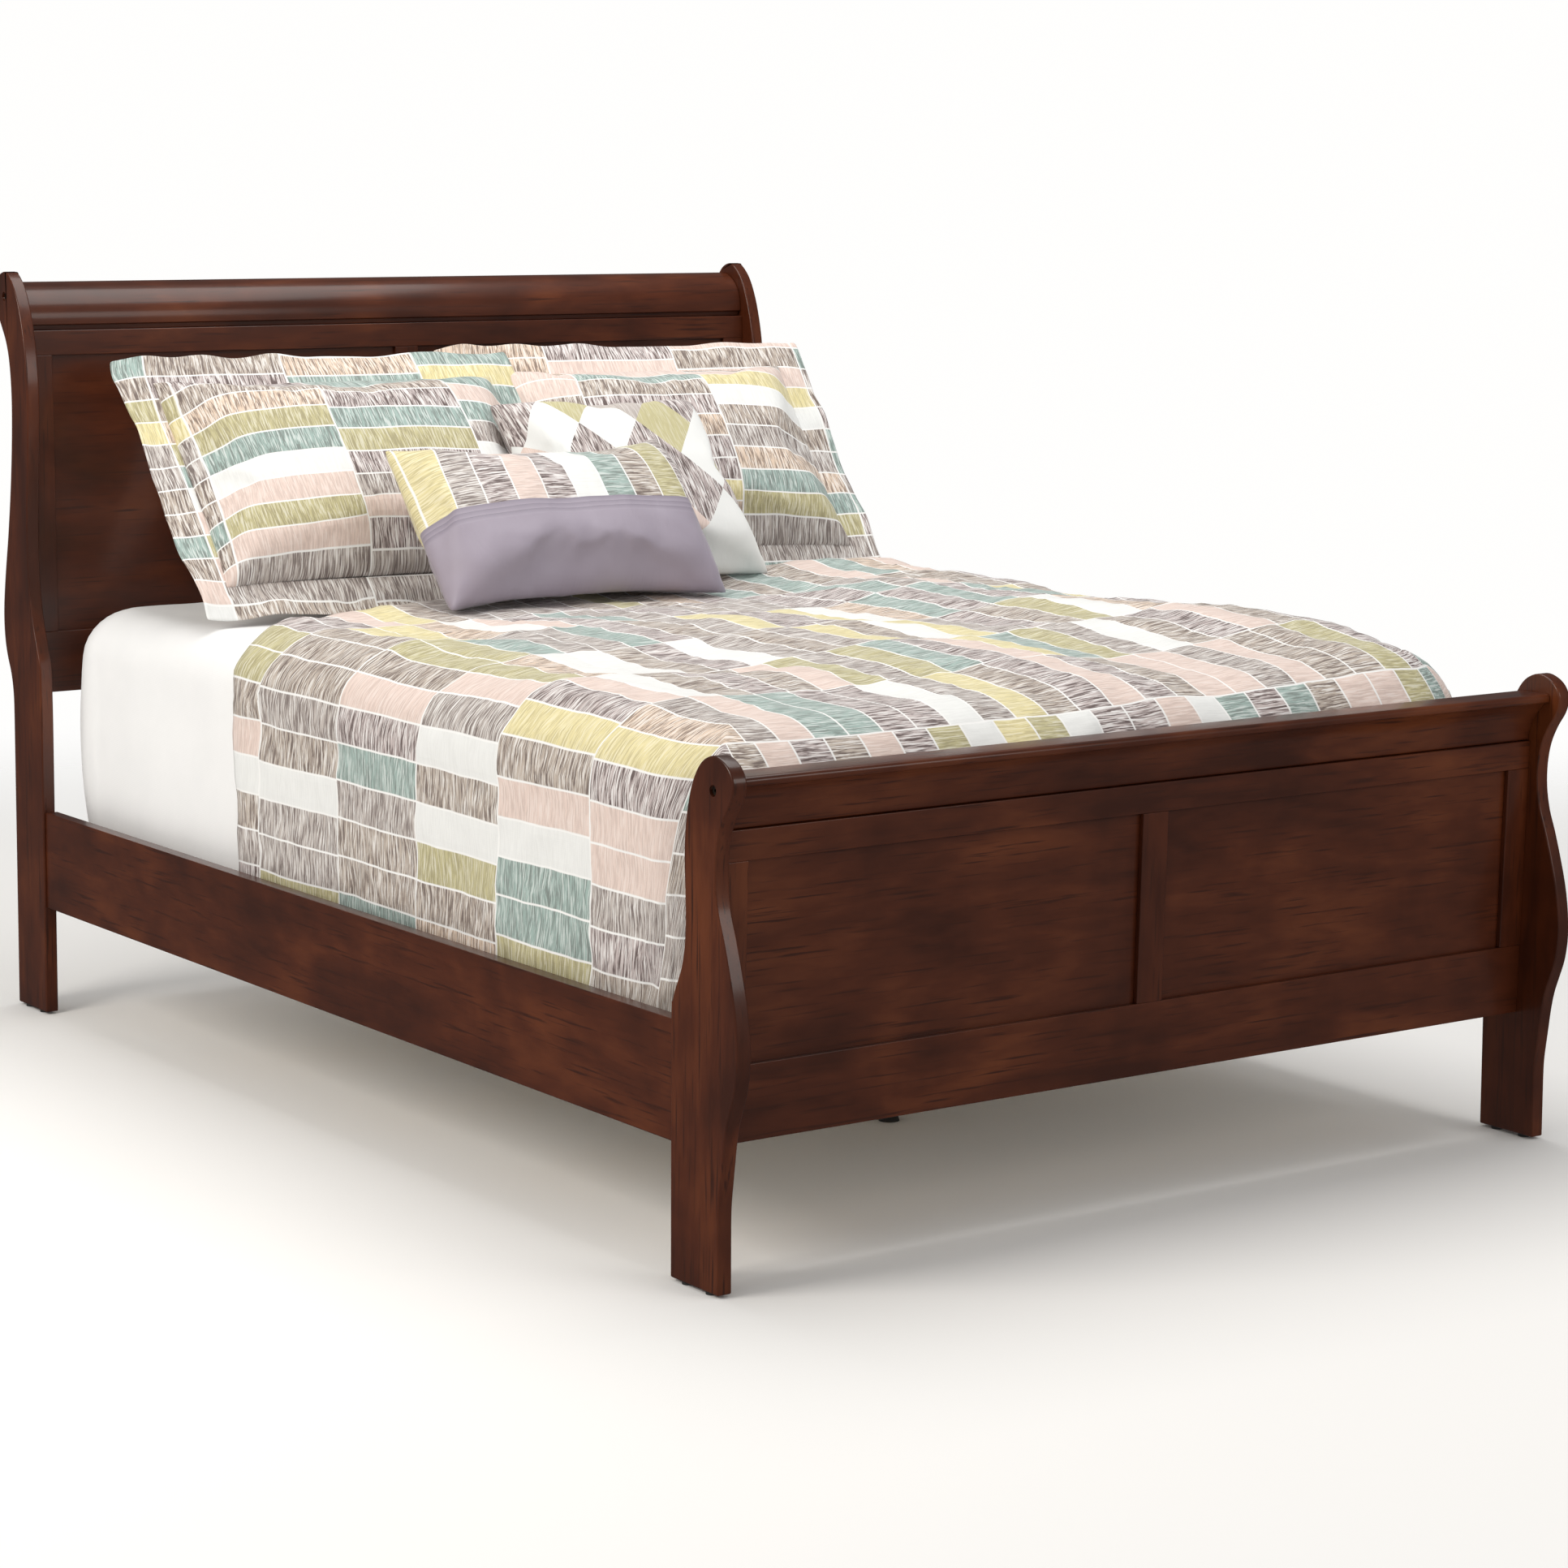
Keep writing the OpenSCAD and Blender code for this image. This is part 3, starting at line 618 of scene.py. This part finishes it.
def ripple(x, y, wave, seed=0.0):
    """Smooth unevenness from -1 to 1 with about that wavelength."""
    return noise.noise(Vector((x / wave, y / wave, seed))) * 1.6


sheet_low, sheet_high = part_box("sheet")
SHEET_EDGE = 0.08
SHEET_CORNER = 0.11
# The sheet lies closer under the comforter than where it is bare
SHEET_BARE = 0.3
SHEET_CLOSER = 0.011
SHEET_STEP = 0.014
SHEET_THICK = 0.0012
FINE_CREASE = 0.0016
BROAD_CREASE = 0.003
SIDE_CREASE = 0.0035
HEAD_BELLY = 0.034


def sheet_relief(place, facing, across, along):
    side = 1 - facing.z
    creases = ripple(across + along * 0.4, along, 0.09, 3.1) * FINE_CREASE
    creases += ripple(across, along, 0.3, 8.2) * BROAD_CREASE
    hanging = ripple(place.x + place.y, place.z * 0.3, 0.11, 5.7) * SIDE_CREASE * side
    belly = HEAD_BELLY * max(0, facing.y) * math.sin(math.pi * min(max((place.z - 0.3) / 0.38, 0), 1)) ** 0.6
    covered = SHEET_CLOSER * min(max((SHEET_BARE - along) / 0.08, 0), 1)
    return creases * (0.4 + 0.6 * facing.z) + hanging - 0.002 * side + belly - covered


white_cotton, cotton_place, cotton_shader = start("white_cotton", "cloth")
cotton_weave = weave(cotton_place, 900)
cotton_cloud = cotton_place.grain(14, 3)
dress(
    cotton_shader,
    Base_Color=cotton_cloud.mix((0.84, 0.845, 0.85), (0.9, 0.9, 0.9)),
    Roughness=0.75,
    Sheen_Weight=0.2,
    Sheen_Roughness=0.4,
    Normal=raised(cotton_weave * 0.3 + cotton_cloud, 0.25, 0.0012),
)

sheet_drape = Drape(sheet_low[:2], sheet_high[:2], sheet_high[2], sheet_low[2], SHEET_EDGE, SHEET_CORNER)
sheet_bm = laid(sheet_drape, SHEET_STEP, True, sheet_relief)
sheet = finished("sheet_drape", sheet_bm, white_cotton, "mattress", "white_cotton", "sheet")
cloth_wall = sheet.modifiers.new("wall", "SOLIDIFY")
cloth_wall.thickness = SHEET_THICK
cloth_wall.offset = -1
sheet_flat = (
    sheet_drape.high.x - sheet_drape.low.x + 2 * (sheet_drape.length - sheet_drape.corner),
    sheet_drape.high.y - sheet_drape.low.y + 2 * (sheet_drape.length - sheet_drape.corner),
)
sheet_flat[0] * sheet_flat[1] - 4 * 0.82 * (sheet_drape.length - sheet_drape.corner) ** 2


# ---------------------------------------------------------------- Comforter
# A filled cotton comforter, printed with a patchwork of long bricks. It covers the bed from the foot to the
# pillows and is tucked down inside the rails and behind the footboard.

BRICK_LONG = 0.235
BRICK_SHORT = 0.056
BRICK_GAP = 0.0022
LINE_WHITE = (0.86, 0.86, 0.85)
STROKE_BROWN = (0.085, 0.055, 0.052)
# Each colour of the print, the share of the bricks that have it, and how strongly dark strokes cross it
PRINT = {
    "cream_yellow": ((0.74, 0.66, 0.36), 0.06, 0.3),
    "taupe": ((0.5, 0.43, 0.37), 0.17, 0.85),
    "pale_pink": ((0.74, 0.6, 0.54), 0.13, 0.2),
    "mauve": ((0.53, 0.46, 0.45), 0.18, 1.0),
    "olive_yellow": ((0.52, 0.48, 0.27), 0.08, 0.4),
    "white": ((0.78, 0.79, 0.78), 0.08, 0.05),
    "teal": ((0.34, 0.45, 0.42), 0.1, 0.55),
    "grey": ((0.5, 0.45, 0.42), 0.12, 0.8),
    "peach": ((0.72, 0.57, 0.45), 0.08, 0.8),
}


def crossed(place, along, colour, strength):
    """Hand-drawn strokes, dark and white, that cross the bricks from one long side to the other."""
    turn = (0, 0, 0.13 if along == "U" else -0.13)
    fine = place.stretched((380, 24, 1) if along == "U" else (24, 380, 1), turn=turn).grain(1.0, 3, 0.3, 0.6)
    broad = place.stretched((190, 22, 1) if along == "U" else (22, 190, 1), turn=turn).grain(1.0, 2, 0.2, 0.5)
    dark = fine.node("ShaderNodeMapRange", {"Value": fine, "From Min": 0.48, "From Max": 0.53})
    patch = broad.node("ShaderNodeMapRange", {"Value": broad, "From Min": 0.36, "From Max": 0.52})
    light = fine.node("ShaderNodeMapRange", {"Value": fine, "From Min": 0.47, "From Max": 0.41})
    colour = (light * 0.6 * (0.2 + strength)).mix(colour, LINE_WHITE)
    return (dark * patch * strength * 0.9).mix(colour, STROKE_BROWN)


def patchwork(place, long_side, short_side, along, seed):
    """The colour and the height of a print of bricks, whose long side runs along U or V of the cloth."""
    place_u = place.node("ShaderNodeSeparateXYZ", {0: place})
    place_v = place.node("ShaderNodeSeparateXYZ", {0: place}, output=1)
    run, rise = (place_u, place_v) if along == "U" else (place_v, place_u)
    wander = place.grain(5.0, 1)
    run = run + (wander - 0.5) * 0.012
    rise = rise + (wander - 0.5) * 0.008
    column = (run / long_side + seed).maths("FLOOR", run / long_side + seed)
    shift = column.node("ShaderNodeTexWhiteNoise", {"W": column + 0.37}, noise_dimensions="1D")
    row_place = rise / short_side + shift + seed
    row = row_place.maths("FLOOR", row_place)
    brick = column.node("ShaderNodeCombineXYZ", {0: column, 1: row, 2: 0.5 + seed})
    chance = brick.node("ShaderNodeTexWhiteNoise", {"Vector": brick}, noise_dimensions="3D")
    stops, strokes, share = [], [], 0.0
    for colour, portion, strength in PRINT.values():
        stops.append((share, colour))
        strokes.append((share, (strength, strength, strength)))
        share += portion
    colour, strength = (
        chance.node("ShaderNodeValToRGB", {"Fac": chance}, stops=ramp) for ramp in (stops, strokes)
    )
    for ramp in (colour, strength):
        ramp.socket.node.color_ramp.interpolation = "CONSTANT"
    colour = crossed(place, along, colour, strength)
    # Unprinted lines between the bricks
    u = (run / long_side + seed).maths("FRACT", run / long_side + seed)
    v = row_place.maths("FRACT", row_place)
    edge_u = (0.5 - (u - 0.5).maths("ABSOLUTE", u - 0.5)) * long_side
    edge_v = (0.5 - (v - 0.5).maths("ABSOLUTE", v - 0.5)) * short_side
    edge = edge_u.maths("MINIMUM", edge_u, edge_v)
    line = edge.node(
        "ShaderNodeMapRange", {"Value": edge, "From Min": BRICK_GAP, "From Max": BRICK_GAP * 0.4}
    )
    colour = line.mix(colour, LINE_WHITE)
    height = edge.node("ShaderNodeMapRange", {"Value": edge, "From Min": 0, "From Max": 0.012})
    return colour, height


def printed_cotton(name, along, seed, long_side=BRICK_LONG, short_side=BRICK_SHORT):
    material, place, shader = start(name, "cloth")
    colour, height = patchwork(place, long_side, short_side, along, seed)
    crumple = place.grain(26, 4, 0.6)
    dress(
        shader,
        Base_Color=colour,
        Roughness=0.8,
        Sheen_Weight=0.12,
        Sheen_Roughness=0.4,
        Normal=raised(height * 0.7 + crumple * 0.9 + weave(place, 700) * 0.06, 0.5, 0.0022),
    )
    return material


comforter_low, comforter_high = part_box("comforter")
HEM_AT_SIDE = 0.355
HEM_ON_TOP = 0.47
HEM_SLANT = 0.05
HEM_WANDER = 0.008
# How far from the middle the hem has come down to its place at the side
HEM_SIDE_AT = 0.75
COMFORTER_EDGE = 0.135
COMFORTER_CORNER = 0.15


def comforter_head(across):
    """The head hem runs further up the bed on top than at the sides, and slants."""
    side = min(abs(across) / HEM_SIDE_AT, 1)
    hem = HEM_ON_TOP + HEM_SLANT * across - (HEM_ON_TOP - HEM_AT_SIDE) * side**2
    return hem + HEM_WANDER * ripple(across, 0, 0.2, 4)


def comforter_relief(place, facing, across, along):
    top = facing.z
    shoulder = 1 - abs(2 * top - 1)
    pressed = 1 - 0.6 * min(max((place.y - 0.1) / 0.15, 0), 1)
    crown = 0.016 * top * pressed * (1 - (place.x / 0.7) ** 2)
    far_fold = 0.03 * top * min(max((place.x - 0.2) / 0.3, 0), 1)
    swell = ripple(across, along, 0.36, 1.3) * 0.012 + ripple(across, along, 0.15, 6.4) * 0.006
    pucker = abs(ripple(across + 0.3 * along, along * 0.7, 0.1, 2.2)) * 0.006
    pucker += abs(ripple(across * 0.8, along - 0.4 * across, 0.055, 7.9)) * 0.003
    folds = ripple(place.x + place.y, place.z * 0.25, 0.19, 9.5) * 0.005 * (1 - top)
    foot = -0.02 * top * max(0, min(1, (-0.62 - place.y) / 0.3))
    # The head hem is plump, because the filling is sewn in there
    to_hem = max(0, 1 - abs(comforter_head(across) - along - 0.03) / 0.05)
    loft = crown + far_fold + swell * (0.3 + 0.7 * top) * pressed - pucker + folds + foot + 0.007 * to_hem
    # The filling never packs down to nothing
    return max(loft, -0.011 + 0.003 * top) + 0.01 * shoulder


comforter_drape = Drape(
    comforter_low[:2], (comforter_high[0], 1.5), comforter_high[2] - 0.004, comforter_low[2],
    COMFORTER_EDGE, COMFORTER_CORNER,
)
comforter_bm = laid(comforter_drape, 0.0115, False, comforter_relief, comforter_head)
comforter = finished(
    "comforter_drape", comforter_bm, printed_cotton("patchwork_bedspread", "V", 0.0), "mattress",
    "patchwork_cotton", "comforter",
)
fill = comforter.modifiers.new("fill", "SOLIDIFY")
fill.thickness = 0.011
fill.offset = -1


# ---------------------------------------------------------------- Pillows and cushions
# Two panels of cotton are sewn together round their edges and stuffed. The shams have a flat border beyond
# the seam. Each is inflated by cloth simulation from its flat panels and then leaned back in its place.

PILLOW_STEP = 0.0105
PILLOW_FRAMES = 20
SEAM_REACH = 0.002
# How far the flat border runs in past the edge of the stuffed part
BORDER_UNDER = 0.02


def panels(width, height, thick, step=PILLOW_STEP):
    """Two flat panels joined at their edges, puffed up a little.

    Their cloth coordinates are metres on the panel."""
    bm = bmesh.new()
    bmesh.ops.create_grid(bm, x_segments=round(width / step), y_segments=round(height / step), size=0.5)
    bmesh.ops.scale(bm, vec=(width, height, 1), verts=bm.verts)
    cloth = bm.loops.layers.uv.new("cloth")
    for face in bm.faces:
        for loop in face.loops:
            loop[cloth].uv = loop.vert.co.xy
    back = bmesh.ops.duplicate(bm, geom=bm.verts[:] + bm.edges[:] + bm.faces[:])["geom"]
    back_faces = [g for g in back if isinstance(g, bmesh.types.BMFace)]
    back_verts = {g for g in back if isinstance(g, bmesh.types.BMVert)}
    bmesh.ops.reverse_faces(bm, faces=back_faces)
    for v in bm.verts:
        dome = (1 - abs(2 * v.co.x / width) ** 2.6) * (1 - abs(2 * v.co.y / height) ** 2.6)
        v.co.z = (-1 if v in back_verts else 1) * thick / 2 * max(dome, 0) ** 0.55
    bmesh.ops.remove_doubles(bm, verts=bm.verts, dist=SEAM_REACH)
    return bm


def stuffed(bm, pressure, stiffness=12.0, shrink=0.0, frames=PILLOW_FRAMES, cap=0.03):
    """Inflates sewn panels by cloth simulation, and caps how far a point may move."""
    scene = bpy.context.scene
    mesh = bpy.data.meshes.new("stuffing")
    bm.to_mesh(mesh)
    bm.free()
    pad = bpy.data.objects.new("stuffing", mesh)
    scene.collection.objects.link(pad)
    settings = pad.modifiers.new("stuffing", "CLOTH").settings
    settings.quality = 6
    settings.mass = 0.25
    settings.tension_stiffness = stiffness
    settings.compression_stiffness = stiffness
    settings.shear_stiffness = stiffness * 0.5
    settings.bending_stiffness = 0.25
    settings.shrink_min = shrink
    settings.use_pressure = True
    settings.uniform_pressure_force = pressure
    settings.effector_weights.gravity = 0
    for number in range(1, frames + 1):
        scene.frame_set(number)
    settled = pad.evaluated_get(bpy.context.evaluated_depsgraph_get()).to_mesh()
    for before, after in zip(mesh.vertices, settled.vertices):
        moved = after.co - before.co
        if moved.length > cap:
            moved *= cap / moved.length
        before.co = before.co + moved
    scene.frame_set(1)
    bm = bmesh.new()
    bm.from_mesh(mesh)
    bpy.data.objects.remove(pad)
    return bm


def puckered(bm, width, height, depth):
    """Gathers the cloth along its seams, and dents the filling."""
    for v in bm.verts:
        to_side, to_end = width / 2 - abs(v.co.x), height / 2 - abs(v.co.y)
        near, run = (to_side, v.co.y) if to_side < to_end else (to_end, v.co.x)
        face = 1 if v.co.z > 0 else -1
        gather = ripple(run, near * 0.3, 0.036, 3.3 * face + width) * math.exp(-max(near, 0) / 0.045)
        dent = ripple(v.co.x, v.co.y, 0.13, 5.1 * face + height)
        crease = abs(ripple(v.co.x + v.co.y, v.co.y - 0.4 * v.co.x, 0.09, 8.8 + width)) - 0.5
        loose = min(max(near / 0.03, 0), 1)
        v.co.z += face * loose * depth * (gather + 0.5 * dent - 0.5 * crease)


def bordered(bm, width, height, border, wave=0.011, thick=0.0035):
    """Adds a sham's flat border: a double band of cloth beyond the seam, with a soft wave."""
    cloth = bm.loops.layers.uv["cloth"]
    low = min(v.co.x for v in bm.verts), min(v.co.y for v in bm.verts)
    high = max(v.co.x for v in bm.verts), max(v.co.y for v in bm.verts)
    reach = high[0] - low[0], high[1] - low[1]
    band = bmesh.new()
    bmesh.ops.create_grid(
        band, x_segments=round((reach[0] + 2 * border) / PILLOW_STEP),
        y_segments=round((reach[1] + 2 * border) / PILLOW_STEP), size=0.5,
    )
    bmesh.ops.scale(band, vec=(reach[0] + 2 * border, reach[1] + 2 * border, 1), verts=band.verts)
    band_cloth = band.loops.layers.uv.new("cloth")
    keep_x, keep_y = reach[0] / 2 - BORDER_UNDER, reach[1] / 2 - BORDER_UNDER
    middles = [(face, face.calc_center_median()) for face in band.faces]
    inside = [face for face, middle in middles if abs(middle.x) < keep_x and abs(middle.y) < keep_y]
    bmesh.ops.delete(band, geom=inside, context="FACES")
    for face in band.faces:
        for loop in face.loops:
            loop[band_cloth].uv = loop.vert.co.xy
    for v in band.verts:
        past = max(abs(v.co.x) - reach[0] / 2, abs(v.co.y) - reach[1] / 2, 0) / border
        v.co.z += wave * past * ripple(v.co.x, v.co.y, 0.075, 2.5 + width)
        v.co.x *= 1 - 0.012 * past * (1 + ripple(v.co.y, 0, 0.1, 4.4))
        v.co.y *= 1 - 0.012 * past * (1 + ripple(v.co.x, 0, 0.1, 7.4))
    middle = Vector(((low[0] + high[0]) / 2, (low[1] + high[1]) / 2, 0))
    bmesh.ops.translate(band, vec=middle, verts=band.verts)
    bmesh.ops.solidify(band, geom=band.faces[:], thickness=thick)
    bmesh.ops.translate(band, vec=(0, 0, thick / 2), verts=band.verts)
    bmesh.ops.recalc_face_normals(band, faces=band.faces)
    shell = bpy.data.meshes.new("border")
    band.to_mesh(shell)
    band.free()
    bm.from_mesh(shell)
    bpy.data.meshes.remove(shell)
    return bm


def lean(bm, across, bottom, turn, tilt, height, rest_on, settle=0.35, sag=0.0):
    """Leans a pillow back from its bottom edge, and flattens what would go below the bed's surface."""
    turned = Matrix.Rotation(turn, 4, "Z") @ Matrix.Rotation(tilt, 4, "X")
    for v in bm.verts:
        up = v.co.y + height / 2
        v.co = Vector((v.co.x, up, v.co.z - sag * (up / height) ** 2))
    bmesh.ops.transform(bm, matrix=Matrix.Translation((across, *bottom)) @ turned, verts=bm.verts)
    for v in bm.verts:
        below = rest_on - v.co.z
        if below > 0:
            v.co.z = rest_on + below * 0.02
        elif below > -settle * 0.1:
            v.co.z = rest_on + (v.co.z - rest_on) * 0.8


def pillow(node, width, height, thick, across, bottom, turn, tilt, rest_on, material, slot, border=0.0,
           pressure=4.0, sag=0.0, pucker=0.005):
    bm = panels(width - 2 * border, height - 2 * border, thick)
    bm = stuffed(bm, pressure)
    puckered(bm, width - 2 * border, height - 2 * border, pucker)
    if border:
        bordered(bm, width, height, border)
    lean(bm, across, bottom, turn, tilt, height, rest_on, sag=sag)
    piece = finished(node + "_stuffed", bm, material, node, slot, node)
    smooth = piece.modifiers.new("smooth", "SUBSURF")
    smooth.levels = smooth.render_levels = 1
    return piece


SHEET_TOP = sheet_high[2]
COMFORTER_TOP = comforter_high[2]

for side, across in (("left", -0.205), ("right", 0.395)):
    pillow(
        f"sleeping_pillow_{side}", 0.57, 0.37, 0.085, across, (0.748, SHEET_TOP + 0.012), 0, math.radians(55),
        SHEET_TOP + 0.001, white_cotton, "white_cotton", pressure=2.5, pucker=0.003,
    )

sham_print_left = printed_cotton("patchwork_left_sham", "U", 3.27, 0.25, 0.049)
sham_print_right = printed_cotton("patchwork_right_sham", "U", 8.61, 0.25, 0.049)
pillow(
    "sham_left", 0.79, 0.59, 0.125, -0.277, (0.495, SHEET_TOP + 0.004), math.radians(-3.5), math.radians(45),
    SHEET_TOP + 0.001, sham_print_left, "patchwork_cotton", border=0.055,
)
pillow(
    "sham_right", 0.77, 0.57, 0.12, 0.318, (0.54, SHEET_TOP + 0.008), math.radians(-8), math.radians(47),
    SHEET_TOP + 0.001, sham_print_right, "patchwork_cotton", border=0.055,
)

# The square cushion is printed with slanting diamonds, most of them white
DIAMOND_WIDE = 0.115
DIAMOND_HIGH = 0.15
diamond_cotton, diamond_place, diamond_shader = start("diamond_cotton", "cloth")
diamond_u = diamond_place.node("ShaderNodeSeparateXYZ", {0: diamond_place})
diamond_v = diamond_place.node("ShaderNodeSeparateXYZ", {0: diamond_place}, output=1)
rising = diamond_u / DIAMOND_WIDE + diamond_v / DIAMOND_HIGH + 0.2
falling = diamond_u / DIAMOND_WIDE - diamond_v / DIAMOND_HIGH + 0.45
diamond = rising.node(
    "ShaderNodeCombineXYZ", {0: rising.maths("FLOOR", rising), 1: falling.maths("FLOOR", falling), 2: 2.5}
)
diamond_chance = diamond.node("ShaderNodeTexWhiteNoise", {"Vector": diamond}, noise_dimensions="3D")
diamond_colours = [
    (0, "white", 0.0), (0.3, "grey", 0.25), (0.45, "mauve", 1.0), (0.6, "olive_yellow", 0.1),
    (0.72, "white", 0.0), (0.86, "pale_pink", 0.1), (0.93, "taupe", 0.5),
]
diamond_colour = diamond_chance.node(
    "ShaderNodeValToRGB",
    {"Fac": diamond_chance},
    stops=[(at, PRINT[name][0]) for at, name, _ in diamond_colours],
)
diamond_strokes = diamond_chance.node(
    "ShaderNodeValToRGB",
    {"Fac": diamond_chance},
    stops=[(at, (much,) * 3) for at, _, much in diamond_colours],
)
for ramp in (diamond_colour, diamond_strokes):
    ramp.socket.node.color_ramp.interpolation = "CONSTANT"
dress(
    diamond_shader,
    Base_Color=crossed(diamond_place, "U", diamond_colour, diamond_strokes),
    Roughness=0.8,
    Sheen_Weight=0.12,
    Normal=raised(diamond_place.grain(26, 4, 0.6), 0.4, 0.002),
)
pillow(
    "square_cushion", 0.445, 0.42, 0.085, 0.15, (0.385, COMFORTER_TOP + 0.004), 0, math.radians(47),
    COMFORTER_TOP + 0.001, diamond_cotton, "hexagon_cotton",
)

# The oblong cushion has a band of upright strips above plain sateen, with three pleats between them. Each
# pleat is darkened with painted shade that deepens across its fold
STRIPS = [
    "cream_yellow", "grey", "mauve", "pale_pink", "mauve",
    "white", "teal", "taupe", "olive_yellow", "mauve",
]
STRIP_WIDE = 0.0565
PLEAT_AT = -0.032
PLEAT_APART = 0.0095
lavender, lavender_place, lavender_shader = start("lavender_cotton", "cloth")
lavender_u = lavender_place.node("ShaderNodeSeparateXYZ", {0: lavender_place})
lavender_v = lavender_place.node("ShaderNodeSeparateXYZ", {0: lavender_place}, output=1)
strip_place = lavender_u / (STRIP_WIDE * len(STRIPS)) + 0.5
strip_colour = strip_place.node(
    "ShaderNodeValToRGB",
    {"Fac": strip_place},
    stops=[(i / len(STRIPS), PRINT[name][0]) for i, name in enumerate(STRIPS)],
)
strip_strokes = strip_place.node(
    "ShaderNodeValToRGB",
    {"Fac": strip_place},
    stops=[(i / len(STRIPS), (PRINT[name][2],) * 3) for i, name in enumerate(STRIPS)],
)
for ramp in (strip_colour, strip_strokes):
    ramp.socket.node.color_ramp.interpolation = "CONSTANT"
strip_u = strip_place * len(STRIPS)
strip_middle = strip_u.maths("FRACT", strip_u) - 0.5
strip_edge = 0.5 - strip_middle.maths("ABSOLUTE", strip_middle)
strip_line = strip_edge.node(
    "ShaderNodeMapRange", {"Value": strip_edge, "From Min": 0.035, "From Max": 0.015}
)
strip_print = strip_line.mix(crossed(lavender_place, "V", strip_colour, strip_strokes), LINE_WHITE)
above = lavender_v.maths("GREATER_THAN", lavender_v, PLEAT_AT + 2.6 * PLEAT_APART)
pleat = (lavender_v - PLEAT_AT) / PLEAT_APART
pleated = pleat.maths("GREATER_THAN", pleat, -0.5) * (1 - pleat.maths("GREATER_THAN", pleat, 2.6))
pleat_saw = pleat.maths("FRACT", pleat + 0.5) * pleated
wrinkles = lavender_place.stretched((1, 0.45, 1)).grain(16, 3, 1.0) * 0.9
sateen = lavender_place.grain(9, 3).mix((0.31, 0.27, 0.335), (0.37, 0.33, 0.4))
# Painted shade: the sateen is mixed towards dark purple across each pleat, on top of the pleat's bumped shape
dress(
    lavender_shader,
    Base_Color=above.mix((pleated * pleat_saw * 0.45).mix(sateen, (0.14, 0.12, 0.16)), strip_print),
    Roughness=0.55,
    Sheen_Weight=0.25,
    Sheen_Roughness=0.35,
    Normal=raised(wrinkles - pleat_saw * 0.6, 0.6, 0.004),
)
pillow(
    "oblong_cushion", 0.585, 0.34, 0.1, -0.075, (0.28, COMFORTER_TOP - 0.004), 0, math.radians(48),
    COMFORTER_TOP + 0.001, lavender, "lavender_cotton", pucker=0.007,
)
